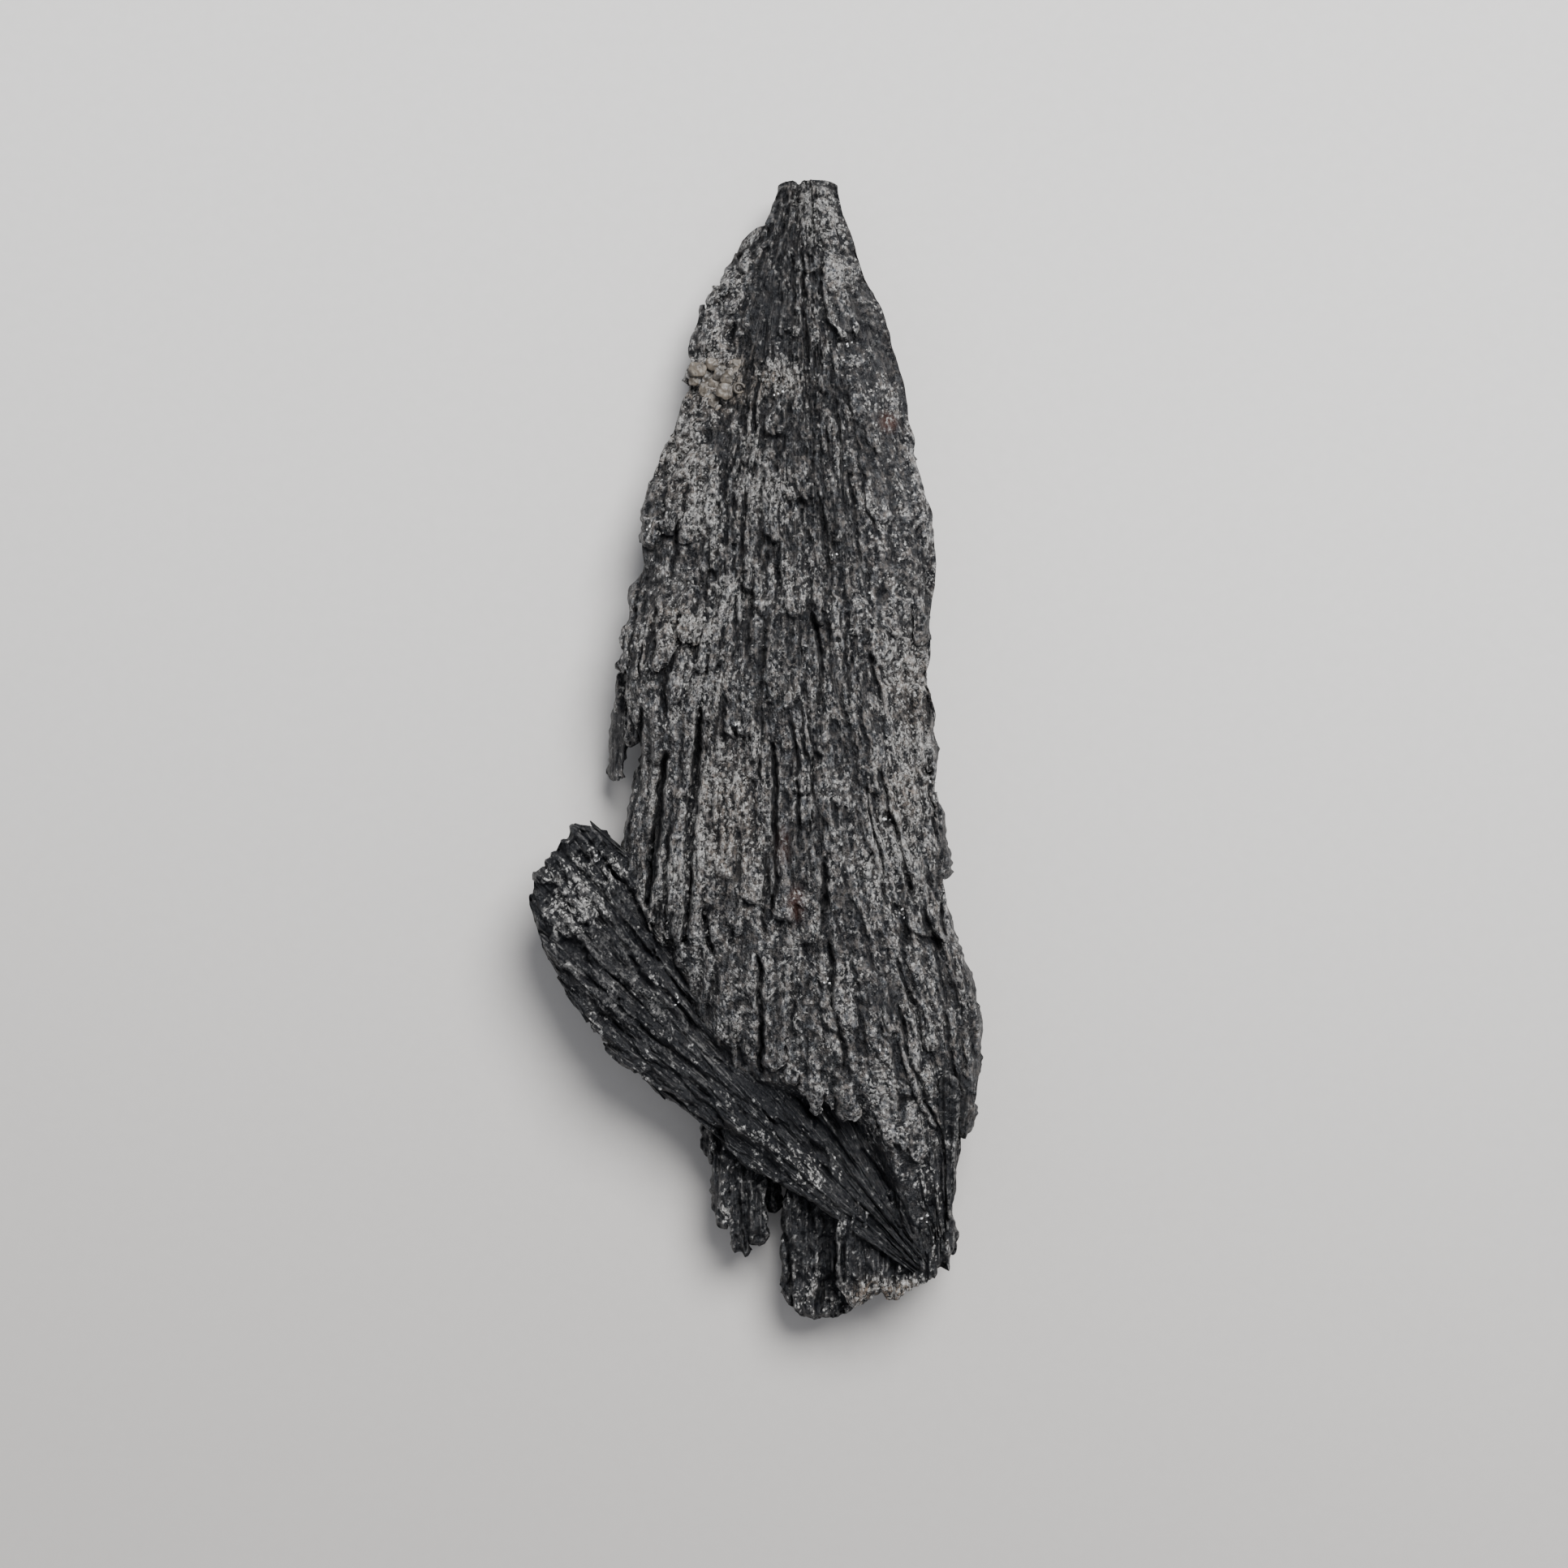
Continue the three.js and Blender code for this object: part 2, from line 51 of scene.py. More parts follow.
# --- shape of the stone
# The tables are in the frame of the CAD source's driving dimensions; this is the footprint's
# centre in it.
CENTRE = np.array([0.152, -0.038])
BLADE_DEPTH = 1.9  # thickness of an ordinary blade
FIBRE = 0.7  # width of one fibre of a blade
SHINGLE_TILT = 0.085  # how fast a blade sinks under its neighbours, away from its tip
TABLE_CUT = 0.8  # the lowest blades are worn flat by this much
KEEL_RISE = 3.4  # how far the underside rises from the keel to the edges
NARROW_END = 47.2  # no blade reaches past this y
CORE_INSET = 0.3  # the body lies this far under the blades
EDGE_INSET = 0.2  # and this far inside the outline
END_SPLIT = 3.8  # where the narrow end is split, across
LAP = 0.8  # a stretch of the body runs on this far under its neighbours
PEAK = 15.8  # crumbs are pressed down above this height
PRESS = 0.65  # by this share of what passes it

# Outline of the main fan from its narrow end to the foot: [y, left edge x, right edge x]
OUTLINE = np.array([
    [50.2, 1.7, 7.5], [49, 1.4, 7.7], [47.3, 1.1, 8], [44.8, 0.2, 8.8], [43.7, -1.1, 9.2],
    [42.2, -1.9, 9.7], [41.4, -3.3, 10], [40.2, -3.8, 10.6], [37.3, -5, 11.5], [34.5, -5.5, 12.5],
    [31.6, -6.1, 13.1], [28.7, -7, 13.6], [25.9, -8.2, 14.2], [23, -9.3, 15.1], [20.2, -9.9, 15.7],
    [17.3, -9.9, 16.1], [14.5, -10.1, 15.8], [11.6, -10.8, 15.6], [8.7, -11.4, 15.4], [5.9, -11.6, 15],
    [3, -11, 15.7], [0.2, -10.2, 16], [-1.5, -9.9, 16], [-4.1, -10.4, 15.9], [-7.6, -11, 16.4],
    [-9.7, -11.1, 16.9], [-12.9, -10.8, 16.7], [-16.1, -9, 17.4], [-20, -6.5, 18.8],
    [-24, -4.6, 19.4], [-28.6, -1.2, 19.6], [-31.1, 2.5, 19.1], [-34, 5, 18.2], [-37, 7, 17.5],
    [-42, 9, 17.6],
])

# Heights down the main fan: [y, height of the crest, fall from crest to edge, height of the keel]
PROFILE = np.array([
    [50.2, 6.6, 1.4, 0.9], [43.2, 8.4, 2.2, 0.4], [33.2, 10.4, 3.2, 0], [23.2, 12, 4, 0],
    [16, 13.2, 4.6, 0], [6, 14.4, 5.2, 0], [-2.5, 15, 5.4, 0], [-12.5, 15.4, 5.4, 0],
    [-22.5, 15, 4.8, 0], [-29, 14.2, 4.2, 0], [-34, 12.8, 3.4, 0.1], [-42, 9.6, 2.2, 0.3],
])

# How the grain gathers towards the narrow end: [y, lean per mm off axis, axis x]
GRAIN = np.array([
    [50.2, 0.12, 4.6], [43.2, 0.085, 3.7], [33.2, 0.042, 4.1], [23.2, 0.027, 3.9], [12, 0.02, 2.4],
    [-5, 0.017, 1.4], [-16, 0.021, 1.7], [-25, 0.024, 2.1], [-34, 0.042, 4.9],
])
MOST_LEAN = 0.6

# Blades whose tips stand free of the body: [tip x, tip y, width, length, lift, own lean if any]
FREE = [
    # shoulder
    [-2.6, 39.6, 1.5, 4.2, 0.5, -0.2], [-1.2, 41.4, 1.1, 2.8, 0.5, -0.2],
    [-4.2, 34.5, 1.9, 6.4, 0.2, -0.1], [-5.3, 31.6, 1.9, 7.6, 0.1, -0.1], [-6.7, 27.1, 1.7, 9.1, 0],
    # tiers of the left side
    [-9.1, 17.2, 1.9, 12.6, 0.2], [-7.6, 18.3, 1.7, 10.7, 0.5], [-6.1, 17.5, 1.6, 8.6, 0.4],
    [-10.9, 5.9, 1.9, 10.7, 0.3], [-9.4, 6.2, 1.6, 7.9, 0.2], [-8.1, 6.5, 1.7, 4.3, 0.9],
    [-5.8, 8.8, 2.4, 5.3, 0.8], [-4.2, 6.3, 2.1, 5, 0.7],
    # free fingers of the left side
    [-12.5, -2.9, 1.6, 10.7, -1.4, -0.12], [-10.7, 0.2, 1.4, 9.3, -0.5], [-9.1, 0.6, 1.3, 8.6, -0.1],
    [-7.2, 3.2, 1.4, 5.7, 0.3], [-5.4, 2.1, 1.4, 5.7, 0.1], [-10.4, -12.8, 2, 13.6, -0.2],
    [-8.5, -15.4, 1.4, 15, 0.2], [-6.8, -17.2, 2, 16.4, 0.6], [-5.3, -16.8, 1.6, 16.4, 0.3],
    [-4.1, -14.5, 0.9, 8.6, 0.1],
    # right edge
    [14.3, 8.7, 1.6, 8.6, 0.2], [15.3, -2.3, 1.3, 8.6, -0.4], [16.4, -11.6, 1.6, 7.9, -0.3],
    [18.2, -23, 1.6, 8, -0.3], [18.9, -29.6, 1.4, 12.1, 0], [18.4, -33.9, 1.4, 16.4, 0.1],
    [16.7, -32.9, 1.7, 14.3, 0.3], [15.1, -30.4, 1.7, 10.7, 0.3],
    # last row above the foot
    [-2.7, -25.8, 1.9, 12.1, 0.1], [-1.2, -26.8, 1.4, 12.1, -0.1], [0, -27.7, 1, 10.7, -0.3],
    [1.6, -28.1, 1.9, 13.6, 0.5], [3.2, -29.3, 1.3, 11.4, 0.3], [4.3, -30.4, 1.1, 10.7, 0.1],
    [5.4, -31.8, 1.1, 11.4, 0.3], [6.5, -31.1, 1.1, 10.7, -0.1], [8.2, -32.4, 1.9, 12.1, 0.1],
]

# Blades that lie on the upper face, in the same terms
MARKED = [
    [7.9, 35.5, 3, 10, 0.7], [5.1, 33.9, 1.1, 12.1, 0.3], [3.5, 21, 3.1, 8.6, 0.6],
    [1.2, 17.3, 2.1, 8.6, 0.5], [-0.4, 12.6, 2, 7.9, 0.5], [3.2, 10.6, 1.9, 7.9, 0.5],
    [5.3, 10.5, 1.1, 7.1, 0.4], [11.7, 9.5, 1.7, 7.9, 0.4], [-2.6, 6.9, 2, 8.6, 0.4],
    [-1.1, 0.5, 2.7, 8.6, 0.6], [2.3, 2.7, 2.9, 7.9, 0.5], [4.3, -4.5, 1.6, 9.3, 0.6],
    [8.5, 2.3, 2, 7.9, 0.4], [10.1, -4.5, 1.7, 9.3, 0.6], [7.1, -8.2, 1.4, 8.6, 0.4],
    [2.5, -15.4, 1.9, 13.6, 0.7], [-0.4, -14, 2.1, 14.3, 0.5], [-1.9, -16.1, 1.6, 11.4, 0.4],
    [8.1, -24.7, 2, 17.1, 0.4], [11.4, -24.7, 1.9, 9.3, 0.3], [10.3, -33.6, 1.5, 10.7, 0.3],
    [12.4, -34.9, 1.8, 10.7, 0.5], [14.6, -36.2, 1.6, 11.4, 0.4], [16.2, -33.5, 1.2, 9, 0.4],
    # the fork
    [9.5, -20.8, 2.4, 18.6, 0.4, 0.03], [15.5, -17.2, 3.1, 12.5, 0.6, 0.36],
]

# Deep open splits between the fibres: [x, y, x, y, depth, half width]
SPLITS = np.array([
    [-1.9, 22.5, -1.9, 18.5, 0.7, 0.2], [5.5, 21.8, 6.2, 15.3, 0.8, 0.2],
    [8.1, 23.2, 8.9, 17.1, 0.6, 0.2], [-8.3, 6, -7.6, 3, 0.9, 0.25],
    [-7.8, -0.9, -9.4, -13.2, 2.4, 0.4], [-4.9, 3, -6.1, -16.1, 2.6, 0.34],
    [-4.5, -14.3, -3.8, -17.2, 1.6, 0.35], [1.7, 0.3, 1.7, -13.2, 1.5, 0.25],
    [0.9, -9.7, 0.9, -15.4, 1, 0.2], [0.5, 2.8, 0.5, -2.2, 0.9, 0.2],
    [0.5, -18.2, 0.5, -27.5, 1.5, 0.26], [4, 3.2, 5, -4.5, 0.8, 0.2],
    [5.9, -9.7, 5.9, -14.3, 1.2, 0.24], [6.4, -16.8, 6.7, -21.8, 1.1, 0.24],
    [7.1, -23.2, 7.8, -26.8, 1, 0.22], [12.3, -22.5, 13.4, -26.8, 1.2, 0.25],
    [13.4, -26.8, 15.6, -32.5, 0.9, 0.22], [5, 11.8, 5.7, 7.3, 0.9, 0.2],
    [5.7, 7.3, 5.3, 3.9, 0.8, 0.2], [7.8, 10.3, 7.9, 6.5, 0.8, 0.2], [7.9, 6.5, 8.1, 3.9, 0.7, 0.2],
    [-8.6, 11.8, -9.4, 8.9, 0.9, 0.2], [-1.6, 12.8, -1.6, 9.3, 0.7, 0.2],
    [-0.4, 12.5, 1, 11, 0.6, 0.2], [4.2, 43.5, 4.3, 35, 0.6, 0.2], [3.3, 43, 3.5, 38, 0.4, 0.2],
    [-6.8, 20, -7.2, 15, 0.8, 0.22], [-9.9, 3, -10.2, -1, 1, 0.25],
])

# Hollows: [x, y, half width, half height, depth]
PITS = np.array([
    [14.9, -1.8, 0.45, 0.5, 1.5], [11.4, -6.1, 0.5, 0.7, 1.5], [12.3, -7.2, 0.7, 0.9, 1],
    [3.6, -34, 1.6, 1.2, 1.5],
])

# The crossing fan spreads from a broken corner; its rounded far end: [angle, reach]
CORNER = np.array([16.7, -47.5])
RAY_HOME = 40  # distance from it at which an angle counts as mm across the rays
CROSS_END = np.array([
    [54.4, 46.5], [53.6, 50.6], [52.8, 52.4], [51.6, 53.3], [50.5, 52.4], [49.5, 52.5], [48, 51.8],
    [46.6, 51.6], [45.3, 51.8], [44.3, 51.2], [43.3, 50], [41.4, 48.4], [39.9, 45.1], [38.4, 42.8],
    [36.7, 39.2], [35.5, 32], [34.8, 25.7], [33.6, 20],
])
CROSS_TOP = 9.6
CROSS_DEPTH = 4.4

# Splits between the bundles of the crossing fan: [angle, reach, angle, reach, depth, half width]
RAY_SPLITS = np.array([
    [51.6, 49, 51, 36, 0.6, 0.22], [49.2, 51, 48.5, 33, 0.9, 0.26],
    [47.2, 45, 46.6, 30, 0.6, 0.22], [44, 46, 45.2, 26, 0.5, 0.2],
    [41.5, 42, 42.5, 24, 0.6, 0.22], [38.6, 38, 39, 20, 0.5, 0.2],
    [53, 30, 54, 14, 0.7, 0.24], [62, 24, 61, 12, 0.6, 0.22],
    [72, 20, 71, 10, 0.5, 0.2],
])

FOOT_TIP = [5.9, -50.25]
BASE_TIPS = [[9, -48.9], [10.3, -48.2], [12.1, -48.1], [13.6, -47.4], [15.1, -46.7], [16.2, -45.9],
             [16.7, -44.6]]
SIDE_TIPS = [[-3.7, -36.6], [-2.7, -42.4], [-1.3, -44.8], [0.1, -43.9], [1.3, -41]]

# Soft patches, pale and dusty, dark and smooth, smooth in relief only, rust-stained and buff:
# [x, y, half width, half height, strength]
PALE = np.array([
    [5.6, 47.1, 2.2, 3, 0.55], [7.4, 41.7, 1.3, 1.8, 0.7], [-3.6, 41.4, 2, 1.8, 0.4],
    [-4.4, 32.5, 2.6, 2.2, 0.8], [-6.1, 26, 2, 4, 0.65], [-4.4, 20.3, 1.6, 4, 0.6],
    [2.4, 32.5, 2.5, 1.4, 0.75], [1.4, 22.5, 2.5, 1.8, 0.6], [-2.9, 13.2, 1.5, 2.5, 0.4],
    [-5.8, 10.3, 2, 2.2, 0.5], [-5.1, 6, 1.5, 1.5, 0.5], [13.5, 16, 3, 9, 0.1],
    [12.8, 6, 3, 6, 0.22], [14.2, -1.1, 2.5, 5, 0.36], [12.8, -9, 3, 4, 0.35],
    [-3.6, -6.1, 2.6, 5.5, 0.4], [-6.9, -12.5, 1.6, 5, 0.25], [10.3, -9.7, 1.5, 3, 0.35],
    [10.6, -29.7, 1.6, 6, 0.3], [12.8, -36.1, 1.5, 6, 0.1], [15.8, -41, 1.4, 6, 0.2],
    [-15.1, -13.3, 4, 5, 0.5], [-11, -20, 4, 5, 0.15], [13, -47, 4, 1.8, 0.8],
    [15.2, -38, 1.4, 6, 0.3], [9.5, -49, 3, 2, 0.6], [6, -47.5, 4, 3.5, 0.3],
    [-2, -38, 2.5, 4, 0.15], [-5.5, -17.5, 2.5, 4, 0.4], [1, -34.5, 2.6, 2.2, 0.6],
    [5.6, -36.6, 2.6, 2.2, 0.4], [16.5, -44.5, 1.6, 2.5, 0.5],
])
DARK = np.array([
    [1.4, 37.5, 2.3, 5, 0.7], [3.1, 27.5, 2, 2, 0.4], [7.8, 36.8, 2, 1.5, 0.5],
    [4.2, 11, 2.2, 1.2, 0.4], [-12.2, 0.3, 1.6, 3, 0.7], [-5, -17.5, 2.5, 2.5, 0.6],
    [4.9, -33.2, 4, 2.5, 0.8], [11.4, -40, 4.5, 5, 0.8], [1.4, -29.7, 4, 2, 0.45],
    [10.3, -21.5, 1.5, 1.5, 0.5], [9.5, 32, 3, 6, 0.35], [3, 45, 1.2, 4, 0.25],
    [6.5, 22, 2, 4, 0.3], [-3, 27, 1.6, 3, 0.35], [11.8, 24, 3.4, 12, 0.18],
])
SMOOTH = np.array([[11.6, 24, 3.4, 12, 0.9], [6, 40, 2, 6, 0.4]])
RUST = np.array([[11.6, 28.5, 0.8, 0.8, 0.55], [3.5, -13.2, 0.7, 1.4, 0.5], [2.4, -8.2, 0.6, 1.6, 0.35]])
BUFF = np.array([
    [13, -47.8, 4.4, 1.4, 1], [9.8, -47.2, 1.6, 1.4, 0.8], [-3.2, 31.8, 3.4, 3, 0.55],
    [1.8, 32, 2.2, 1.3, 0.45], [-6.5, 25, 2.2, 4, 0.3], [-7, 11, 2.2, 2.2, 0.35],
    [13.6, 5, 2, 5, 0.3], [-2.2, -6, 2.6, 6, 0.35], [13, -4, 1.8, 3, 0.3],
])

# Rounded lobes of the buff crust: [x, y, radius]. The small ring: [x, y, radius, thickness]
CRUST = [
    [-5.1, 33.3, 0.7], [-4.1, 32.5, 0.8], [-3.1, 31.9, 0.9], [-2.1, 32.5, 0.8], [-3.5, 30.5, 0.8],
    [-4.3, 31.5, 0.7], [-1.7, 33.5, 0.6], [-2.7, 31.1, 0.7], [-3.7, 33.7, 0.6], [-3, 33, 0.7],
    [-5.4, 32.3, 0.5],
]
CRUST_RING = [-1.4, 31.4, 0.42, 0.13]

# Bright flakes: [x, y]
FLAKES = [
    [6.8, 16.7], [10, 13.3], [-1.5, 1.8], [12.8, -14.2], [11.1, -25.9], [6.1, -19.9], [11.4, -6],
    [15.1, -2.9], [14.9, -40.9], [8.3, 35.4], [-9, 19.3], [2.2, 30.9], [-13.6, -9.2], [-6.7, -21.9],
]


# --- fineness of the meshes
COLUMN_STEP = 0.14
RING_STEP = 0.17

# Independent layers of random numbers; the last argument of noise() says which one it reads
rng = np.random.default_rng(7)
NOISE_SIZE = 128
NOISE = rng.random((24, NOISE_SIZE, NOISE_SIZE)) * 2 - 1


# --- fields over the stone
def station(table, y):
    """Columns of a table whose first column falls, interpolated at y."""
    return [np.interp(-np.asarray(y, float), -table[:, 0], column) for column in table[:, 1:].T]


def noise(a, b, layer):
    """Smooth noise from -1 to 1 over a plane, with bumps about 1 across."""
    a, b = np.broadcast_arrays(np.asarray(a, float), np.asarray(b, float))
    i, j = np.floor(a).astype(int), np.floor(b).astype(int)
    f, g = a - i, b - j
    f, g = f * f * (3 - 2 * f), g * g * (3 - 2 * g)
    i, j = i % NOISE_SIZE, j % NOISE_SIZE
    right, above = (i + 1) % NOISE_SIZE, (j + 1) % NOISE_SIZE
    low = NOISE[layer, i, j] * (1 - f) + NOISE[layer, right, j] * f
    high = NOISE[layer, i, above] * (1 - f) + NOISE[layer, right, above] * f
    return low * (1 - g) + high * g


def smooth_step(a, b, x):
    """From 0 at a to 1 at b, where b may be the smaller."""
    t = np.clip((x - a) / (b - a), 0, 1)
    return t * t * (3 - 2 * t)


def off_middle(x, y):
    """How far a point lies from the middle of the main fan, as a share of the way to its edge."""
    left, right = station(OUTLINE, y)
    return np.minimum(1.25, np.abs(x - (left + right) / 2) / ((right - left) / 2))


def fan_width(y):
    left, right = station(OUTLINE, y)
    return right - left


def upper_face(x, y):
    crest, fall, _ = station(PROFILE, y)
    return crest - fall * off_middle(x, y) ** 2.4


def under_face(x, y):
    keel = station(PROFILE, y)[2]
    return keel + KEEL_RISE * off_middle(x, y) ** 2 - TABLE_CUT


def grain_lean(x, y, reach=3):
    """Sideways lean of the grain, as dx for each mm downwards; at the edges it follows the outline."""
    gather, axis = station(GRAIN, y)
    inner = np.clip(gather * (x - axis), -MOST_LEAN, MOST_LEAN)
    below, above = station(OUTLINE, y - reach), station(OUTLINE, y + reach)
    left, right = [(b - a) / (2 * reach) for b, a in zip(below, above)]
    outer = np.where(x < axis, np.minimum(0, left), np.maximum(0, right))
    return inner + (outer - inner) * smooth_step(0.6, 0.95, off_middle(x, y))


FLOW_STEP = 0.5
FLOW_X = np.arange(-24, 28.1, FLOW_STEP)
FLOW_ROWS = 104
FLOW_HOME = -5.0


def flow_table():
    """For a grid of points, where the grain line through each crosses y = FLOW_HOME."""
    home = np.linspace(-60, 60, 481)
    rows = {}
    for direction in (1, -1):
        x, row = home.copy(), int(FLOW_HOME / FLOW_STEP)
        while abs(row) <= FLOW_ROWS:
            rows[row] = np.interp(FLOW_X, np.maximum.accumulate(x), home)
            x = x - direction * FLOW_STEP * grain_lean(x, row * FLOW_STEP)
            row += direction
    return np.array([rows[row] for row in sorted(rows)])


FLOW = flow_table()


def flow(x, y):
    """The grain line through a point, named by its x at FLOW_HOME."""
    a = np.clip((np.asarray(y) / FLOW_STEP) + FLOW_ROWS, 0, len(FLOW) - 1.001)
    b = np.clip((np.asarray(x) - FLOW_X[0]) / FLOW_STEP, 0, len(FLOW_X) - 1.001)
    i, j = a.astype(int), b.astype(int)
    f, g = a - i, b - j
    near = FLOW[i, j] * (1 - g) + FLOW[i, j + 1] * g
    far = FLOW[i + 1, j] * (1 - g) + FLOW[i + 1, j + 1] * g
    return near * (1 - f) + far * f


def from_corner(x, y):
    """Distance and angle of a point seen from the broken corner, the angle in radians."""
    dx, dy = x - CORNER[0], y - CORNER[1]
    return np.hypot(dx, dy), np.arctan2(dy, -dx)


def patches(table, x, y):
    """The strongest of a table's soft round patches at a point."""
    total = np.zeros(np.shape(x))
    for px, py, wide, high, strength in table:
        d = ((x - px) / wide) ** 2 + ((y - py) / high) ** 2
        total = np.maximum(total, strength * np.exp(-(d ** 1.5)))
    return total


def split_depth(x, y):
    """How far the surface opens down into the deep splits and hollows."""
    wander = 0.22 * noise(x / 4, y / 1.6, 20) + 0.1 * noise(x / 4, y / 0.5, 21)
    depth = np.zeros(np.shape(x))
    for x0, y0, x1, y1, deep, half in SPLITS:
        t = np.clip((y0 - y) / (y0 - y1), 0, 1)
        side = np.abs(x + wander - (x0 + (x1 - x0) * t))
        over = np.maximum(0, np.maximum(y - y0, y1 - y))
        wide = half * (0.55 + 0.45 * np.sin(np.pi * t))
        depth = np.maximum(depth, deep * np.exp(-(side / wide) ** 2 - (over / 0.5) ** 2))
    for px, py, wide, high, deep in PITS:
        away = ((x - px + 0.5 * wander) / wide) ** 2 + ((y - py) / high) ** 2
        depth = np.maximum(depth, deep * np.exp(-away ** 2))
    return depth


# --- relief
# Forms of the relief, each given by its height, its width across the grain, its length along it and
# its noise layer. Then come the width of the groove between plates, the noise values between which
# a step rises, and the width of a crease.
PLATES = [[0.46, 1.9, 8, 2, 0.2], [0.24, 0.9, 4.5, 4, 0.3]]
THREADS = [0.48, 0.42, 5, 6]
STEPS = [[0.26, 1.5, 5, 16, 0, 0.1], [0.18, 0.8, 2.6, 18, 0.15, 0.23]]
CREASES = [1.1, 2.1, 30, 8, 0.07]
CRUMBS = [[0.28, 0.4, 0.75, 13], [0.25, 0.27, 0.36, 14]]
# Mean height of the plates and steps, and of the threads
MEAN_RIDGE = 0.62
MEAN_THREAD = 0.24


def stripes(across, along, size, length, close, layer):
    """Noise drawn out along the grain, whose stripes keep their width as the grain closes up."""
    level = np.clip(-np.log2(close), 0, 2.9)
    low = np.floor(level)
    part = smooth_step(0, 1, level - low)
    odd = low.astype(int) % 2
    fine = noise(across / (size * 2 ** low), along / length, layer + odd)
    wide = noise(across / (size * 2 ** (low + 1)), along / length, layer + 1 - odd)
    return fine * (1 - part) + wide * part


def relief(across, along, x, y, close, ridges=1.0, crumbs=1.0, waver=1.0, threads=1.0, shorten=0):
    """Height of fibres, lumps and crumbs over a plain face; close is how far the grain closes up.
    The other factors weigh the ridges, crumbs, side-to-side waver and finest fibres, and shorten is
    what is added to the way along the grain to make its forms shorter."""
    bend = 0.4 * noise(x / 1.9, y / 4.5, 0) + 0.2 * noise(x / 0.7, y / 1.3, 1)
    across = across + waver * bend / np.maximum(close, 0.15)

    def drawn_out(wide, long, layer):
        return stripes(across, along + shorten, wide, long, close, layer)

    height = 0
    for high, wide, long, layer, groove in PLATES:
        height += high * (1 - np.exp(-(drawn_out(wide, long, layer) / groove) ** 2))
    high, wide, long, layer = THREADS
    height += high * threads * np.abs(drawn_out(wide, long, layer))
    for high, wide, long, layer, foot, head in STEPS:
        height += high * smooth_step(foot, head, drawn_out(wide, long, layer))
    deep, wide, long, layer, narrow = CREASES
    crease = np.exp(-(drawn_out(wide, long, layer) / narrow) ** 2)
    height -= deep * crease * smooth_step(-0.15, 0.3, noise(x / 2.6, y / 5, 10))
    height = ridges * (height - MEAN_RIDGE - MEAN_THREAD * threads)
    height += 0.3 * noise(x / 5, y / 8, 11) + 0.2 * waver * noise(x / 2.1, y / 3.2, 12)
    height += crumbs * sum(high * noise(across * close / wide, along / long, layer)
                           for high, wide, long, layer in CRUMBS)
    return height


def fan_relief(x, y):
    """Relief of the main fan: crumbly where it is pale and higher up, calm where dark or smooth."""
    dark = patches(DARK, x, y)
    smooth = patches(SMOOTH, x, y)
    upper = smooth_step(-2, 18, y)
    crumbs = 0.55 + 0.45 * upper + 0.9 * patches(PALE, x, y) - 0.8 * dark - 0.6 * smooth
    close = np.minimum(1, fan_width(y) / 27)
    threads = (1 - 0.75 * upper) * (1 - 0.5 * dark)
    ridges = 1 - 0.18 * upper - 0.65 * dark - 0.4 * smooth
    # towards the narrow end the forms along the grain get shorter
    shorten = np.maximum(0, y - 5) ** 2 / 70
    rough = relief(flow(x, y), y, x, y, close, ridges, crumbs, 1.0, threads, shorten)
    rough += 0.3 * upper * (1 - dark) * (1 - 0.6 * smooth) * noise(x / 1.1, y / 1.5, 22)
    return rough - split_depth(x, y)


def ray_relief(x, y):
    """Relief that runs out from the broken corner, smooth near it and crumbly at the far end."""
    r, turn = from_corner(x, y)
    head = smooth_step(36, 46, r + 3 * noise(x / 3, y / 3, 15))
    close = np.clip(r / RAY_HOME, 0.15, 1)
    rough = relief(turn * RAY_HOME, r, x, y, close, ridges=1.15 - 0.2 * head,
                   crumbs=0.35 + 1.2 * head, waver=0.4 + 0.9 * head, threads=1 - 0.7 * head)
    wander = 0.5 * noise(x / 2.5, y / 2.5, 20)
    for angle0, r0, angle1, r1, deep, half in RAY_SPLITS:
        t = np.clip((r0 - r) / (r0 - r1), 0, 1)
        side = np.radians(np.degrees(turn) - angle0 - (angle1 - angle0) * t) * r + wander
        over = np.maximum(0, np.maximum(r - r0, r1 - r))
        rough = rough - deep * np.exp(-(side / half) ** 2 - (over / 0.8) ** 2)
    return rough


def foot_relief(x, y):
    """Relief with a straight grain; the shift picks other noise than the fan's."""
    return relief(x, y, x + 40, y + 7, np.ones(np.shape(x)), ridges=1.1, waver=0.5, threads=0.8)


# --- closed solids
def strip_cap(ring, start, face):
    """Triangles over a ring's section, between its first face points and the rest."""
    i, j = 0, len(ring) - 1
    made = []
    while i < face - 1 or j > face:
        if j == face or (i < face - 1 and ring[i + 1, 0] < ring[j - 1, 0]):
            made.append((start + i, start + i + 1, start + j))
            i += 1
        else:
            made.append((start + j - 1, start + j, start + i))
            j -= 1
    return np.array(made)


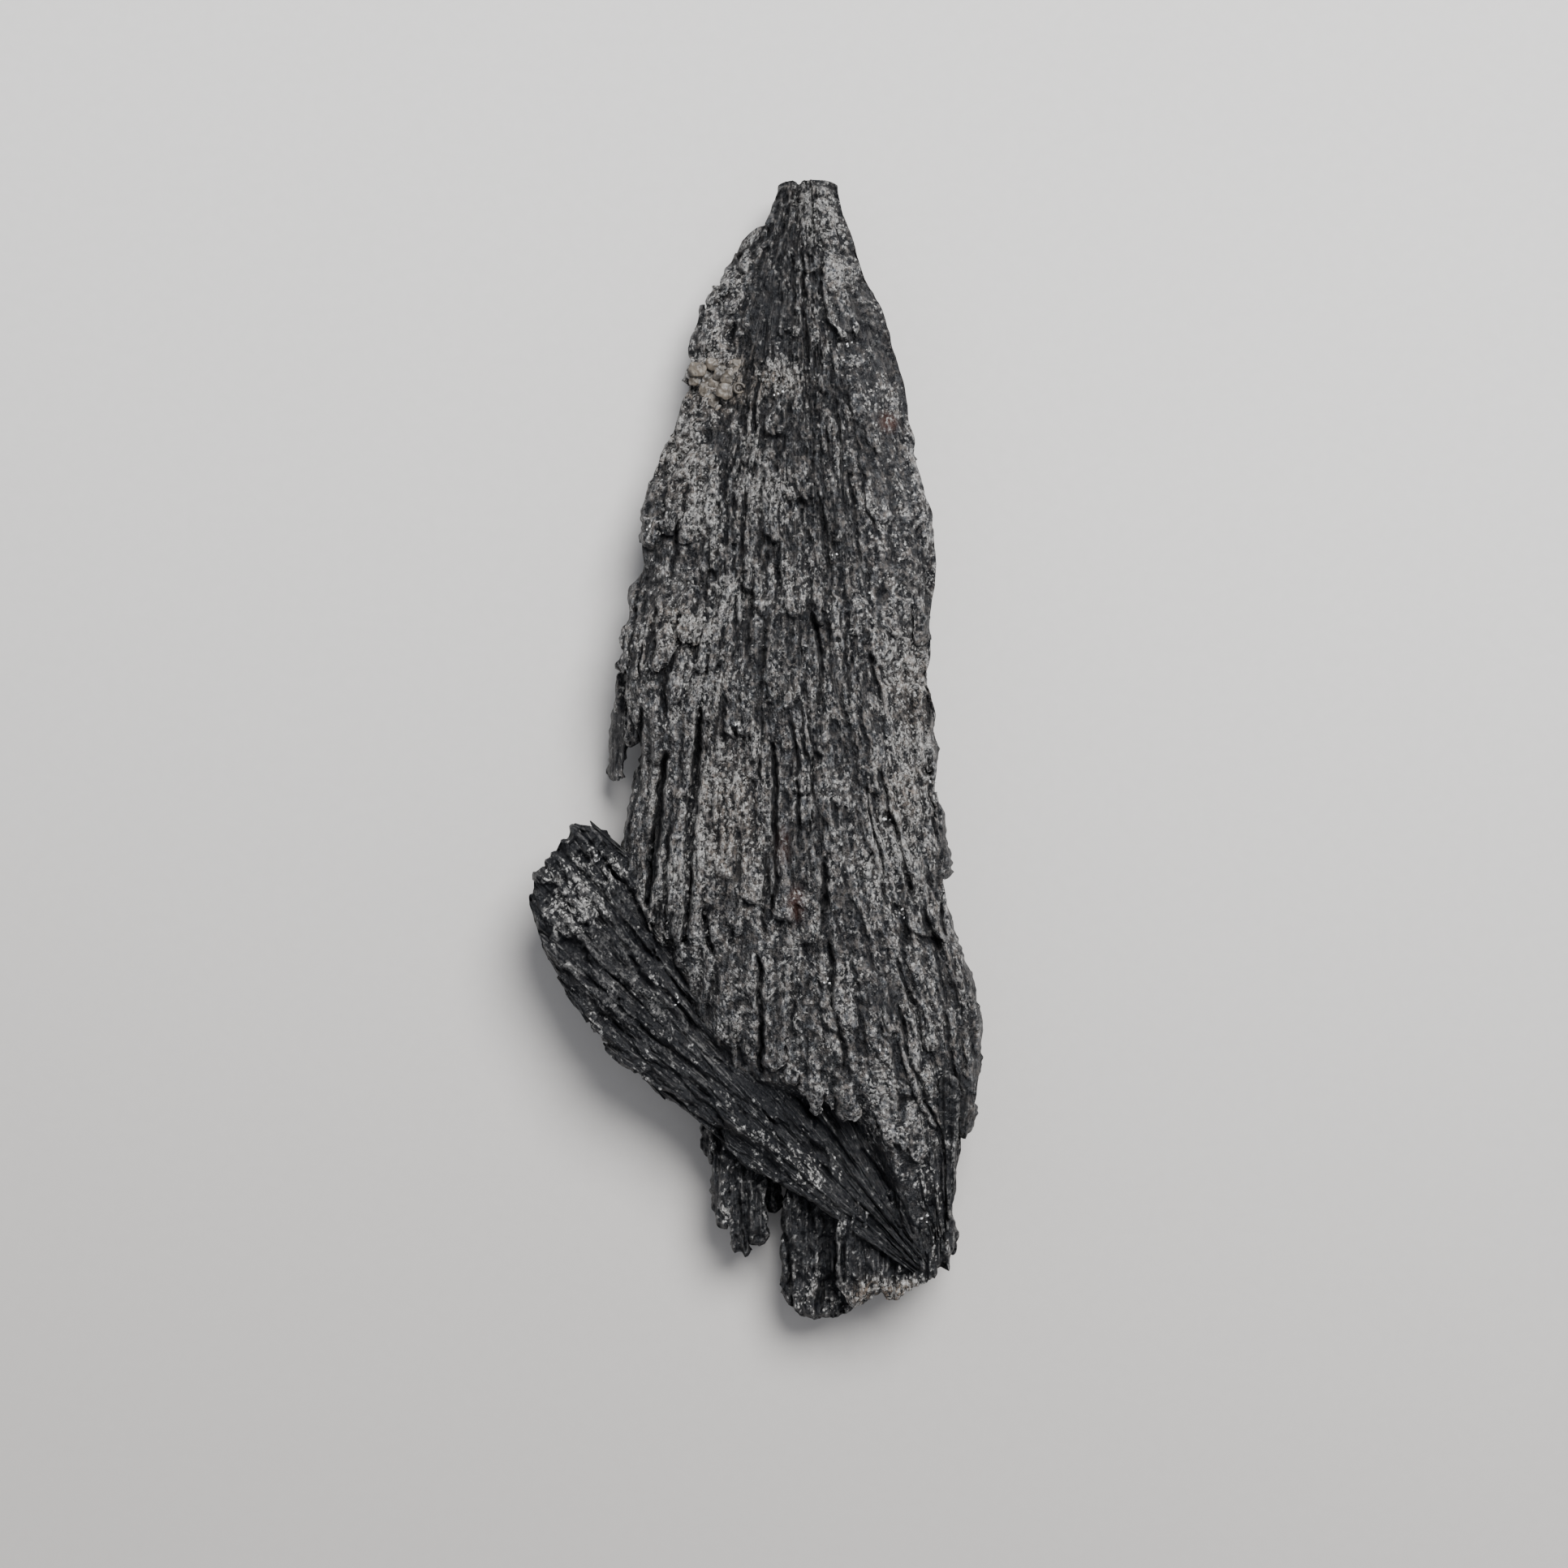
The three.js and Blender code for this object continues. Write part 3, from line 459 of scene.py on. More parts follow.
def close_tube(loop, face=0):
    """A closed triangle mesh from rings of points. Each end has a fan of triangles round its middle
    or, where face is given, strips that join a ring's first face points to the others."""
    rings, size = loop.shape[:2]
    points = loop.reshape(-1, 3)
    index = np.arange(rings * size).reshape(rings, size)
    a, b = index[:-1], np.roll(index, -1, 1)[:-1]
    c, d = np.roll(index, -1, 1)[1:], index[1:]
    sides = [np.stack([a, c, b], -1).reshape(-1, 3), np.stack([a, d, c], -1).reshape(-1, 3)]
    start = index[-1, 0]
    if face:
        ends = [strip_cap(loop[0], 0, face), strip_cap(loop[-1], start, face)[:, ::-1]]
    else:
        first, last = len(points), len(points) + 1
        points = np.vstack([points, loop[0].mean(0), loop[-1].mean(0)])
        ring = np.arange(size)
        after = np.roll(ring, -1)
        ends = [np.stack([ring, after, np.full(size, first)], -1),
                np.stack([start + after, start + ring, np.full(size, last)], -1)]
    faces = np.vstack(sides + ends)
    corners = points[faces]
    volume = np.einsum("ij,ij->", corners[:, 0], np.cross(corners[:, 1], corners[:, 2]))
    return points, faces if volume > 0 else faces[:, ::-1]


def fibre_bounds(count):
    """Where a blade parts into fibres, across its width from -0.5 to 0.5."""
    return np.sort(np.linspace(-0.5, 0.5, count + 1)[1:-1] + rng.normal(0, 0.1 / count, count - 1))


def fibre_count(width):
    return max(2, int(round(width / FIBRE)))


def edge_wander(along, sample, fine_sample):
    """How far a blade's side edge strays from a straight line."""
    return 0.3 * noise(along / 1.9, sample, 16) + 0.14 * noise(along / 0.5, fine_sample, 17)


def blade(path, width, top, depth, texture, taper=1.0, ragged=0.7, slant=0.0, side=1, coarse=1.0):
    """One closed blade. path is the centreline from its tip, top(x, y, share) the height of its
    face, texture(x, y) its relief, and side is -1 for a blade that hangs from the underside."""
    steps = np.linalg.norm(np.diff(path, axis=0), axis=1)
    reach = np.concatenate([[0], np.cumsum(steps)])
    length = reach[-1]
    rings = max(9, int(length / (RING_STEP * coarse)))
    # the rings lie closer together at the tip
    v = length * np.linspace(0, 1, rings) ** (1.2 if length < 20 else 1.5)
    columns = max(6, int(width / (COLUMN_STEP * min(coarse, 1.5))) + 1)
    u = np.linspace(-0.5, 0.5, columns)

    # fibres: each has its own height and its own end
    count = fibre_count(width)
    fibre = np.searchsorted(fibre_bounds(count), u)
    ends = rng.random(count) * ragged
    heights = rng.normal(0, 0.07, count)
    seed = rng.random(3) * 30

    mid = np.stack([np.interp(v, reach, path[:, i]) for i in range(2)], -1)
    along = np.gradient(mid, axis=0)
    along /= np.linalg.norm(along, axis=1)[:, None]
    across = np.stack([along[:, 1], -along[:, 0]], -1)
    share = v / length
    wide = width * (1 + (taper - 1) * share) * (1 - 0.75 * smooth_step(0.72, 1, share))

    vv, uu = np.meshgrid(v, u, indexing="ij")
    near_edge = np.abs(uu * 2) ** 4
    wander = edge_wander(vv, np.sign(uu) * 3 + seed[0], np.sign(uu) + seed[1])
    rounded = 0.3 * width * np.abs(uu * 2) ** 3
    shift = (ends[fibre][None, :] + slant * uu * width + rounded) * (1 - smooth_step(0, 4.0, vv))
    aside = uu * wide[:, None] + wander * near_edge
    px = mid[:, None, 0] + across[:, None, 0] * aside + along[:, None, 0] * shift
    py = mid[:, None, 1] + across[:, None, 1] * aside + along[:, None, 1] * shift

    face = side * top(px, py, share[:, None])
    rough = texture(px, py) + heights[fibre][None, :]
    worn = 0.3 * near_edge ** 2 + 0.45 * (1 - smooth_step(0, 0.8, vv)) ** 2
    lower = face - depth * (1 - 0.3 * (1 - smooth_step(0, 1.5, vv)))
    upper = np.maximum(face + rough - worn, lower + 0.25)

    # the closed outline of each ring: face, right wall, back, left wall
    ring_x, ring_y, ring_z = [px], [py], [upper]

    def wall(column, sign, shares):
        for t in shares:
            bulge = sign * (0.16 * noise(v / 1.2, t * 9 + seed[2], 18) + 0.1 * noise(v / 0.4, t * 9, 19))
            ring_x.append((px[:, column] + across[:, 0] * bulge)[:, None])
            ring_y.append((py[:, column] + across[:, 1] * bulge)[:, None])
            ring_z.append((upper[:, column] * (1 - t) + lower[:, column] * t)[:, None])

    walls = (0.25, 0.5, 0.75)
    wall(-1, 1, walls)
    for column in np.linspace(columns - 1, 0, 4).round().astype(int):
        ring_x.append(px[:, column][:, None])
        ring_y.append(py[:, column][:, None])
        ring_z.append(lower[:, column][:, None])
    wall(0, -1, walls[::-1])
    return close_tube(np.stack([np.hstack(ring_x), np.hstack(ring_y), side * np.hstack(ring_z)], -1))


# --- the main fan
# Stretches of its body, by name, upper end and lower end
STRETCHES = [
    ("fan_top", 50.2, 27.0),
    ("fan_upper", 27.0, 9.0),
    ("fan_lower", 9.0, -9.0),
    ("fan_end", -9.0, -42.0),
]
BODY_WIDTH = 25.0  # the width that sets how many columns a body has
END_MIDDLE = 5.0  # height to which the narrow end closes
FLANK_INSET = 1.35  # blades on the flanks have their middle this far inside the outline
# Loose rows of narrow blades on the upper face, the share of them that is left out, and the ranges
# of their lengths and of how far they stand over the face
ROWS_Y = np.arange(42, -28, -3.0)
ROW_PITCH = 2.2
ROW_MARGIN = 0.8
ROW_GAPS = 0.25
ROW_LENGTHS = (5, 12)
ROW_LIFTS = (-0.15, 0.4)


def between(low, high):
    """A random value between two."""
    return low + rng.random() * (high - low)


def trace(x, y, length, lean=None, steps=12):
    """Centreline of a main-fan blade from its tip, following the grain or its own lean."""
    points = [(x, y)]
    for _ in range(steps):
        x -= (float(grain_lean(x, y)) if lean is None else lean) * length / steps
        y += length / steps
        points.append((x, y))
    return np.array(points)


def taper_of(y, length):
    """How much narrower a blade is at its far end, because the fan closes up."""
    return max(0.45, float(fan_width(y + length) / fan_width(y)))


def ledge(row):
    """What a blade that lies on the upper face needs: its centreline and its ragged end."""
    x, y, width, length, lift = row[:5]
    count = fibre_count(width)
    return {
        "tip": y, "length": length, "width": width, "lift": lift,
        "path": trace(x, y, length, *row[5:]),
        "taper": taper_of(y, length),
        "bounds": fibre_bounds(count),
        "ends": rng.random(count) * 0.9,
        "heights": rng.normal(0, 0.07, count),
        "slant": (rng.random() - 0.5) * 0.6,
        "sample": rng.random() * 30,
    }


def raise_ledge(rise, x, y, given):
    """Raises the part of the upper face that one ledge covers."""
    path, width, length, sample = given["path"], given["width"], given["length"], given["sample"]
    v = y - given["tip"]
    covered = (v > 0) & (v < length) & (np.abs(x - path[0, 0]) < width + 0.6 * length)
    if not covered.any():
        return
    px, py, v = x[covered], y[covered], v[covered]
    wide = width * (1 + (given["taper"] - 1) * v / length)
    u = (px - np.interp(py, path[:, 1], path[:, 0]) + edge_wander(py, sample, sample)) / wide
    fibre = np.searchsorted(given["bounds"], u)
    start = given["ends"][fibre] + given["slant"] * u * width + 0.3 * width * np.abs(2 * u) ** 3
    level = 1.15 * given["lift"] + CORE_INSET + given["heights"][fibre] - SHINGLE_TILT * v
    level = np.maximum(0, level) * smooth_step(0, 0.35, v - start)
    level = level * smooth_step(0, 0.15, (0.5 - np.abs(u)) * wide)
    rise[covered] = np.maximum(rise[covered], level)


def end_drop(x):
    """How far the narrow end falls short of the outline's end: two rounded lumps with a split."""
    return 0.4 * np.exp(-((x - END_SPLIT) / 0.3) ** 2) + 0.5 * np.abs((x - 4.6) / 2.9) ** 4


def crossing_recess(x, y):
    """How far the upper face steps back to let the crossing fan pass in front of it."""
    return 4.5 * smooth_step(-28.5, -33.5, y) * smooth_step(11.5, 8.0, x + 0.3 * (y + 33))


def fan_body(upper_y, lower_y, ledges):
    """The body of a stretch of the main fan, with its relief, its flanks and its plain underside.
    Where it meets its neighbours it runs on a little and sinks under them."""
    start = upper_y + (LAP if upper_y < OUTLINE[0, 0] else 0)
    end = lower_y - (LAP if lower_y > OUTLINE[-1, 0] else 0)
    y = np.linspace(start, end, int((start - end) / RING_STEP))[:, None]
    sunk = np.maximum(0, np.maximum(y - upper_y, lower_y - y))
    left, right = station(OUTLINE, y)
    crest, fall, keel = station(PROFILE, y)
    middle, half = (left + right) / 2, (right - left) / 2 - EDGE_INSET

    # upper face
    columns = int(BODY_WIDTH / COLUMN_STEP)
    t = np.linspace(-1, 1, columns)[None, :]
    x = middle + half * t + 0.3 * noise(y / 1.6, np.sign(t) * 7, 19) * np.abs(t) ** 12
    down = y + 0 * x
    rise = np.zeros(x.shape)
    for blade_on_face in ledges:
        raise_ledge(rise, x, down, blade_on_face)
    top = (crest - fall * np.abs(t) ** 2.4 - CORE_INSET + rise + fan_relief(x, down)
           - crossing_recess(x, down))

    def flank(sign, shares):
        """Edge-on layers between the upper face and the underside."""
        layers = 0.35 * noise(y / 5, shares * 6 + 5 * sign, 16)
        layers += 0.25 * noise(y / 1.7, shares * 14 + sign, 17)
        layers += 0.16 * noise(y / 0.5, shares * 20 + sign, 18)
        side = middle + sign * (1 - 0.1 * shares) * half
        side += sign * (layers - 0.45) * np.sin(np.pi * np.clip(shares, 0.1, 0.9))
        high = crest - fall - CORE_INSET
        low = keel + KEEL_RISE * 0.81 + 0.6
        return side, high + (low - high) * shares

    down_the_flank = np.linspace(0, 1, 20)[None, 1:-1]
    right_x, right_z = flank(1, down_the_flank)
    left_x, left_z = flank(-1, down_the_flank[:, ::-1])

    # underside
    under = np.linspace(0.9, -0.9, 26)[None, :]
    under_x = middle + half * under
    under_z = keel + KEEL_RISE * under ** 2 + 0.6 + 0.2 * noise(under_x / 1.2, y / 4, 20)

    # the narrow end is rounded and a little thinner
    ring_x = np.hstack([x, right_x, under_x, left_x])
    ring_x = middle + (ring_x - middle) * (1 - 0.05 * sunk / LAP)
    ring_z = np.hstack([top - sunk, right_z, under_z, left_z])
    from_end = OUTLINE[0, 0] - y
    ring_y = y - (1 - smooth_step(0, 2.5, from_end)) * end_drop(ring_x)
    ring_z = ring_z + (END_MIDDLE - ring_z) * 0.35 * (1 - smooth_step(0, 0.8, from_end))
    return close_tube(np.stack([ring_x, ring_y, ring_z], -1), columns)


def fan_blade(row, side=1, coarse=1.0):
    """A blade of the main fan, on its upper face or, where side is -1, on its underside."""
    x, y, width, length, lift = row[:5]
    face = upper_face if side > 0 else under_face

    def top(px, py, share):
        return face(px, py) + side * (lift - SHINGLE_TILT * length * share)

    slant = (rng.random() - 0.5) * 0.6
    path = trace(x, y, length, *row[5:])
    return blade(path, width, top, BLADE_DEPTH, fan_relief, taper_of(y, length), 0.7, slant, side, coarse)


def fan_rows():
    """Narrow blades in loose rows, whose ends make the small steps of the upper face."""
    out = []
    for row_y in ROWS_Y:
        left, right = station(OUTLINE, row_y)
        span = right - left - 2 * ROW_MARGIN
        count = int(span / ROW_PITCH)
        for i in range(count):
            if rng.random() < ROW_GAPS:
                continue
            x = left + ROW_MARGIN + (i + 0.5 + (rng.random() - 0.5) * 0.6) * span / count
            y = row_y + (rng.random() - 0.5) * 6
            width = ROW_PITCH * (0.5 + rng.random() * 0.7)
            length = min(between(*ROW_LENGTHS), NARROW_END - y)
            out.append([x, y, width, length, between(*ROW_LIFTS)])
    return out


def fan_flanks(upper_y, lower_y):
    """Blades that show edge-on along both flanks, one above the other."""
    rows = []
    for y in np.arange(min(38, upper_y), max(-28, lower_y), -4.5):
        for flank in (-1, 1):
            tip = y - rng.random() * 4
            left, right = station(OUTLINE, tip)
            x = left + FLANK_INSET if flank < 0 else right - FLANK_INSET
            low, high = under_face(x, tip) + 1.6, upper_face(x, tip) - 1.2
            lift = low + (high - low) * (0.2 + 0.6 * rng.random()) - upper_face(x, tip)
            length = min(8 + rng.random() * 4, NARROW_END - tip)
            rows.append([x, tip, 1.8 + rng.random() * 0.6, length, float(lift)])
    return rows


def under_rows():
    """Wide plain blades all over the underside."""
    rows = []
    for y in np.arange(40, -29, -7.0):
        left, right = station(OUTLINE, y)
        for x in np.arange(left + 2.2, right - 2, 2.9):
            rows.append([x, y, 3.6, min(11, NARROW_END - y), -0.1])
    return rows


# --- the crossing fan
CROSS_ANGLES = (34.6, 54.6)
BUNDLES = 13


def ray_blade(angle, reach, start, width, top, lift, depth,
              taper=0.4, slant=0.0, ragged=0.5, coarse=1.0):
    """A blade along a ray from the broken corner, from reach at its tip down to start."""
    turn = math.radians(180 - angle)
    out = np.array([math.cos(turn), math.sin(turn)])
    bow = (rng.random() - 0.5) * 0.8
    share = np.linspace(0, 1, 18)[:, None]
    path = CORNER + out * (reach + (start - reach) * share)
    path = path + np.array([-out[1], out[0]]) * bow * np.sin(math.pi * share)

    def face(px, py, part):
        return top(from_corner(px, py)[0]) + lift - 0.3 * part

    return blade(path, width, face, depth, ray_relief, taper, ragged, slant, coarse=coarse)


def cross_reach(angle):
    return float(station(CROSS_END, angle)[0])


def cross_top(r):
    return CROSS_TOP + 0.9 * np.sin(math.pi * np.minimum(r, 54) / 54)


def bundles():
    """The wide bundles that the crossing fan is built of, every second one over a thicker one."""
    solids = []
    half = (CROSS_ANGLES[1] - CROSS_ANGLES[0]) / BUNDLES / 2
    for i in range(BUNDLES):
        angle = CROSS_ANGLES[0] + (2 * i + 1) * half
        upper, lower = cross_reach(angle + half), cross_reach(angle - half)
        reach = (upper + lower) / 2 - 0.5 * rng.random()
        width = 2 * reach * math.tan(math.radians(half))
        slant = (upper - lower) / width
        rounding = 1.6 * ((i - BUNDLES / 2) / (BUNDLES / 2)) ** 2

        def top(r):
            return cross_top(r) - rounding * smooth_step(6, 34, r)

        lift = 0.4 * rng.random()
        solids.append(ray_blade(angle, reach, 3.5, 1.35 * width, top, lift, 2.8, slant=slant, coarse=1.6))
        if i % 2:
            solids.append(ray_blade(angle, reach - 1 - rng.random(), 4, 2.0 * width, top,
                                    lift * 0.5 - 2.2, CROSS_DEPTH - 2.2, slant=slant, coarse=2.5))
    return solids


def thin_rays():
    """Narrow blades that lie on the bundles."""
    solids = []
    for angle in 36.5 + 1.2 * np.arange(14):
        reach = min(24 + 24 * rng.random(), cross_reach(angle) - 1)
        width = 0.9 + 1.2 * rng.random()
        lift = 0.65 - 0.12 * abs(angle - 44)
        solids.append(ray_blade(angle, reach, 21, width, cross_top, lift, 1.8,
                                taper=0.5, slant=rng.random() - 0.5, ragged=1.2))
    return solids


def corner_steps():
    """Short blades whose broken ends face the corner."""
    solids = []
    for angle in 36.5 + 1.7 * np.arange(11):
        end = 17 + 5 * rng.random()
        start = end + 6 + 3 * rng.random()
        width = 1.0 + rng.random()
        lift = 0.8 - 0.09 * abs(angle - 45)
        solids.append(ray_blade(angle, end, start, width, cross_top, lift, 1.8,
                                taper=1.1, slant=rng.random() - 0.5, ragged=1.0))
    return solids


def corner_rays():
    """Long blades that fill the wedge between the corner and the main fan."""
    solids = []
    for i in range(15):
        angle = 54.5 + 2.5 * i
        rise = 0.06 + 0.01 * i

        def top(r):
            return 9.0 + rise * r

        lift = -0.3 + 0.5 * rng.random()
        reach = max(18, 29 - 0.5 * (angle - 55.5)) + 2 * rng.random()
        solids.append(ray_blade(angle, reach, 3 + 0.2 * i, 1.9, top, lift, 6.5))
    return solids


# --- foot, base and side splinter
FOOT_ROOT = -35


def straight_blade(tip, root, width, heights, depth, ragged=0.7, coarse=1.0):
    """A blade with a straight grain, whose face rises from the first height to the second."""
    share = np.linspace(0, 1, 8)[:, None]
    path = np.array(tip) + (np.array(root) - np.array(tip)) * share

    def top(px, py, part):
        return heights[0] + (heights[1] - heights[0]) * part + 0 * px

    slant = (rng.random() - 0.5) * 0.4
    return blade(path, width, top, depth, foot_relief, 1.0, ragged, slant, coarse=coarse)


def foot():
    """One wide rounded blade on another."""
    x, y = FOOT_TIP
    root = [x + 0.4, FOOT_ROOT]
    return [straight_blade([x, y], root, 7.2, [6.0, 8.4], 3.6, 0.2),
            straight_blade([x, y + 0.3], root, 6.8, [3.4, 4.6], 3.4, 0.2, 1.5)]


def broken_base():
    solids = []
    for i, (x, y) in enumerate(BASE_TIPS):
        root = [x - 1.5, y + 9]
        solids.append(straight_blade([x, y], root, 2.5, [9.0, 9.6], 7.0, 0.6))
        if i % 2:
            solids.append(straight_blade([x - 0.7, y + 1], root, 3.6, [3.2, 5.5], 3.8, 0.5))
    return solids


def side_splinter():
    """Blades side by side, the last of them lower than the rest."""
    solids = []
    for i, (x, y) in enumerate(SIDE_TIPS):
        deep = 1.6 if i == len(SIDE_TIPS) - 1 else 0
        solids.append(straight_blade([x, y], [x - 0.6, -29], 1.9, [6.0 - deep, 7.6 - deep], 3.6, 0.8))
    return solids


# --- making the pieces
def mesh_data(name, points, faces):
    world = np.array(points, float)
    world[:, :2] -= CENTRE
    world[:, 2] -= PRESS * np.maximum(0, world[:, 2] - PEAK)
    world[:, 2] = np.maximum(world[:, 2], 0)
    data = bpy.data.meshes.new(name)
    data.vertices.add(len(world))
    data.vertices.foreach_set("co", (world * MM).ravel())
    data.loops.add(faces.size)
    data.loops.foreach_set("vertex_index", faces.ravel())
    data.polygons.add(len(faces))
    data.polygons.foreach_set("loop_start", np.arange(0, faces.size, 3))
    data.update(calc_edges=True)
    return data


def gathered(name, solids):
    """One piece from closed solids that run into each other."""
    starts = np.cumsum([0] + [len(points) for points, _ in solids[:-1]])
    points = np.vstack([points for points, _ in solids])
    faces = np.vstack([faces + start for (_, faces), start in zip(solids, starts)])
    piece = bpy.data.objects.new(name, mesh_data(name, points, faces))
    bpy.context.scene.collection.objects.link(piece)
    return piece


def stretch(name, upper_y, lower_y):
    """A stretch of the main fan: its body, and the blades whose tips stand free on it."""
    rows = [row for row in FREE + fan_flanks(upper_y, lower_y) if lower_y < row[1] + 2 <= upper_y]
    return gathered(name, [fan_body(upper_y, lower_y, LEDGES)] + [fan_blade(row) for row in rows])


LEDGES = [ledge(row) for row in MARKED + fan_rows()]
pieces = [stretch(name, upper_y, lower_y) for name, upper_y, lower_y in STRETCHES]
pieces.append(gathered("fan_under", [fan_blade(row, -1, 4) for row in under_rows()]))
pieces.append(gathered("cross_fan", bundles() + thin_rays() + corner_steps()))
pieces.append(gathered("corner", corner_rays()))
pieces.append(gathered("foot", foot() + broken_base() + side_splinter()))


# --- what the stone's surface carries
# A map of the stone's height: its cells' size, its lower left corner and its extent
RASTER_STEP = 0.2
RASTER_FROM = (-24, -54)
RASTER_SIZE = (52, 108)
# How dark a whole piece is at least
DARKNESS = {"cross_fan": 0.95, "corner": 0.85, "foot": 0.8}


def vertices_of(piece):
    flat = np.empty(len(piece.data.vertices) * 3)
    piece.data.vertices.foreach_get("co", flat)
    points = flat.reshape(-1, 3) / MM
    points[:, :2] += CENTRE
    return points


def cell_of(points):
    return tuple(((points[:, axis] - RASTER_FROM[axis]) / RASTER_STEP).astype(int) for axis in (0, 1))


def height_map(points):
    grid = np.zeros([int(size / RASTER_STEP) for size in RASTER_SIZE])
    order = np.argsort(points[:, 2])
    grid[cell_of(points[order])] = points[order, 2]
    return grid


def blurred(grid, radius):
    """Each cell's mean over a square round it, taken twice."""
    size = 2 * radius + 1
    for _ in range(4):
        total = np.cumsum(np.pad(grid, [(radius + 1, radius), (0, 0)], mode="edge"), axis=0)
        grid = ((total[size:] - total[:-size]) / size).T
    return grid


def standing(points, radius=3):
    """How far each point stands above the surface around it."""
    held = (HEIGHTS > 0).astype(float)
    near = blurred(HEIGHTS, radius) / np.maximum(blurred(held, radius), 0.05)
    return points[:, 2] - near[cell_of(points)]


def give(piece, name, values, kind="FLOAT", field="value"):
    """Stores a value at each vertex of a piece, for its material to read."""
    attribute = piece.data.attributes.new(name, kind, "POINT")
    attribute.data.foreach_set(field, np.asarray(values, np.float32).ravel())


def dress(piece, points):
    """Stores what the stone's material has to know at each point of a piece."""
    x, y = points[:, 0], points[:, 1]
    r, turn = from_corner(x, y)
    mottle = 0.25 * noise(x / 2.4, y / 3.4, 22) + 0.2 * noise(x / 0.9, y / 1.4, 23)
    pale = patches(PALE, x, y)
    dark = np.maximum(patches(DARK, x, y), DARKNESS.get(piece.name, 0))
    buff = patches(BUFF, x, y)
    # where the point lies across and along the fibres
    across, along = flow(x, y), y
    if piece.name in ("cross_fan", "corner"):
        across, along = turn * RAY_HOME, r
    if piece.name == "corner":
        dark = dark - 0.8 * pale
    if piece.name == "cross_fan":
        dark = dark + 0.3 * smooth_step(30, 20, r) + 0.1 * smooth_step(38, 46, r)
    if piece.name == "foot":
        across = x
        dark = dark - buff
    else:
        buff = buff * (y > -44)
    # stand and crest also let the material paint shade into the hollows and highlights onto raised points
    give(piece, "stand", standing(points))
    give(piece, "pale", pale + mottle)
    give(piece, "dark", dark)
    give(piece, "rust", patches(RUST, x, y))
    give(piece, "buff", buff)
    give(piece, "crest", standing(points, 1))
    give(piece, "grain", np.stack([across, along, points[:, 2]], -1), "FLOAT_VECTOR", "vector")


stone_points = [vertices_of(piece) for piece in pieces]
HEIGHTS = height_map(np.vstack(stone_points))
for piece, points in zip(pieces, stone_points):
    dress(piece, points)


# --- crust and flakes
FLAKE_CORNERS = ((1, 0.6), (-0.4, 1), (-1, -0.5), (0.5, -1))


def surface(x, y):
    """Height of the stone's surface round a point."""
    i, j = cell_of(np.array([[x, y]]))
    return float(np.percentile(HEIGHTS[i[0] - 1:i[0] + 2, j[0] - 1:j[0] + 2], 70))


def lobe(x, y, z, radius, thick):
    """A flat rounded lump with an uneven outline."""
    turn = np.linspace(0, 2 * math.pi, 28, endpoint=False)
    uneven = 1 + 0.3 * noise(np.cos(turn) * 1.4 + 9 * x, np.sin(turn) * 1.4 + 9 * y, 15)
    tilt = rng.normal(0, 0.08, 2)
    rings = []
    for slope in np.linspace(0.04, math.pi - 0.04, 12):
        reach = radius * math.sin(slope) * uneven
        px, py = reach * np.cos(turn), reach * np.sin(turn)
        sag = 0.12 * thick * (reach / radius) ** 2
        pz = thick * -math.cos(slope) + tilt[0] * px + tilt[1] * py - sag
        pz = z + pz + 0.1 * noise(px / 0.25, py / 0.25 + x, 21)
        rings.append(np.stack([x + px, y + py, pz], -1))
    return close_tube(np.array(rings))


def crust_ring():
    """A small open ring, round in section."""
    x, y, radius, thick = CRUST_RING
    z = surface(x, y) + 0.05
    section = np.linspace(0, 2 * math.pi, 10, endpoint=False)
    reach = radius + thick * np.cos(section)
    rings = []
    for turn in np.linspace(0, 1.8 * math.pi, 30):
        px, py = x + reach * math.cos(turn), y + reach * math.sin(turn)
        rings.append(np.stack([px, py, z + thick * np.sin(section)], -1))
    return close_tube(np.array(rings))


def pale_crust():
    lobes = [lobe(x, y, surface(x, y) + 0.02, 1.05 * radius, 0.14) for x, y, radius in CRUST]
    return lobes + [crust_ring()]


def flake(x, y):
    """A thin plate at a random tilt."""
    turn = rng.random() * 6.28
    out = np.array([math.cos(turn), math.sin(turn), rng.normal(0, 0.3)])
    side = np.array([-out[1], out[0], rng.normal(0, 0.3)])
    size = 0.06 + 0.1 * rng.random(2)
    corners = [out * size[0] * a + side * size[1] * b for a, b in FLAKE_CORNERS]
    base = np.array([x, y, surface(x, y) + 0.04])
    return close_tube(np.array([[base + corner + [0, 0, z] for corner in corners] for z in (-0.06, 0.0)]))


def flakes():
    """Small clusters of thin bright plates."""
    solids = []
    for x, y in FLAKES:
        for _ in range(3):
            px, py = x + rng.normal(0, 0.22), y + rng.normal(0, 0.22)
            solids.append(flake(px, py))
    return solids


# --- materials
BLACK = (0.004, 0.0045, 0.0062, 1)
COOL_DUST = (0.190, 0.198, 0.210, 1)
WARM_DUST = (0.250, 0.222, 0.200, 1)
BUFF_DUST = (0.31, 0.235, 0.17, 1)
RUST_STAIN = (0.070, 0.024, 0.014, 1)
PLATE_EDGE = (0.20, 0.195, 0.19, 1)
# Crest colours: partly worn stone, partly a painted highlight on raised points
WORN_CREST_AND_HIGHLIGHT = (0.27, 0.265, 0.255, 1)
BUFF_CREST_AND_HIGHLIGHT = (0.34, 0.27, 0.20, 1)
# Bright grains: partly pale mineral, partly painted glints
FINE_GRAIN_AND_GLINT = (0.42, 0.41, 0.39, 1)
BRIGHT_GRAIN_AND_GLINT = (0.60, 0.59, 0.57, 1)


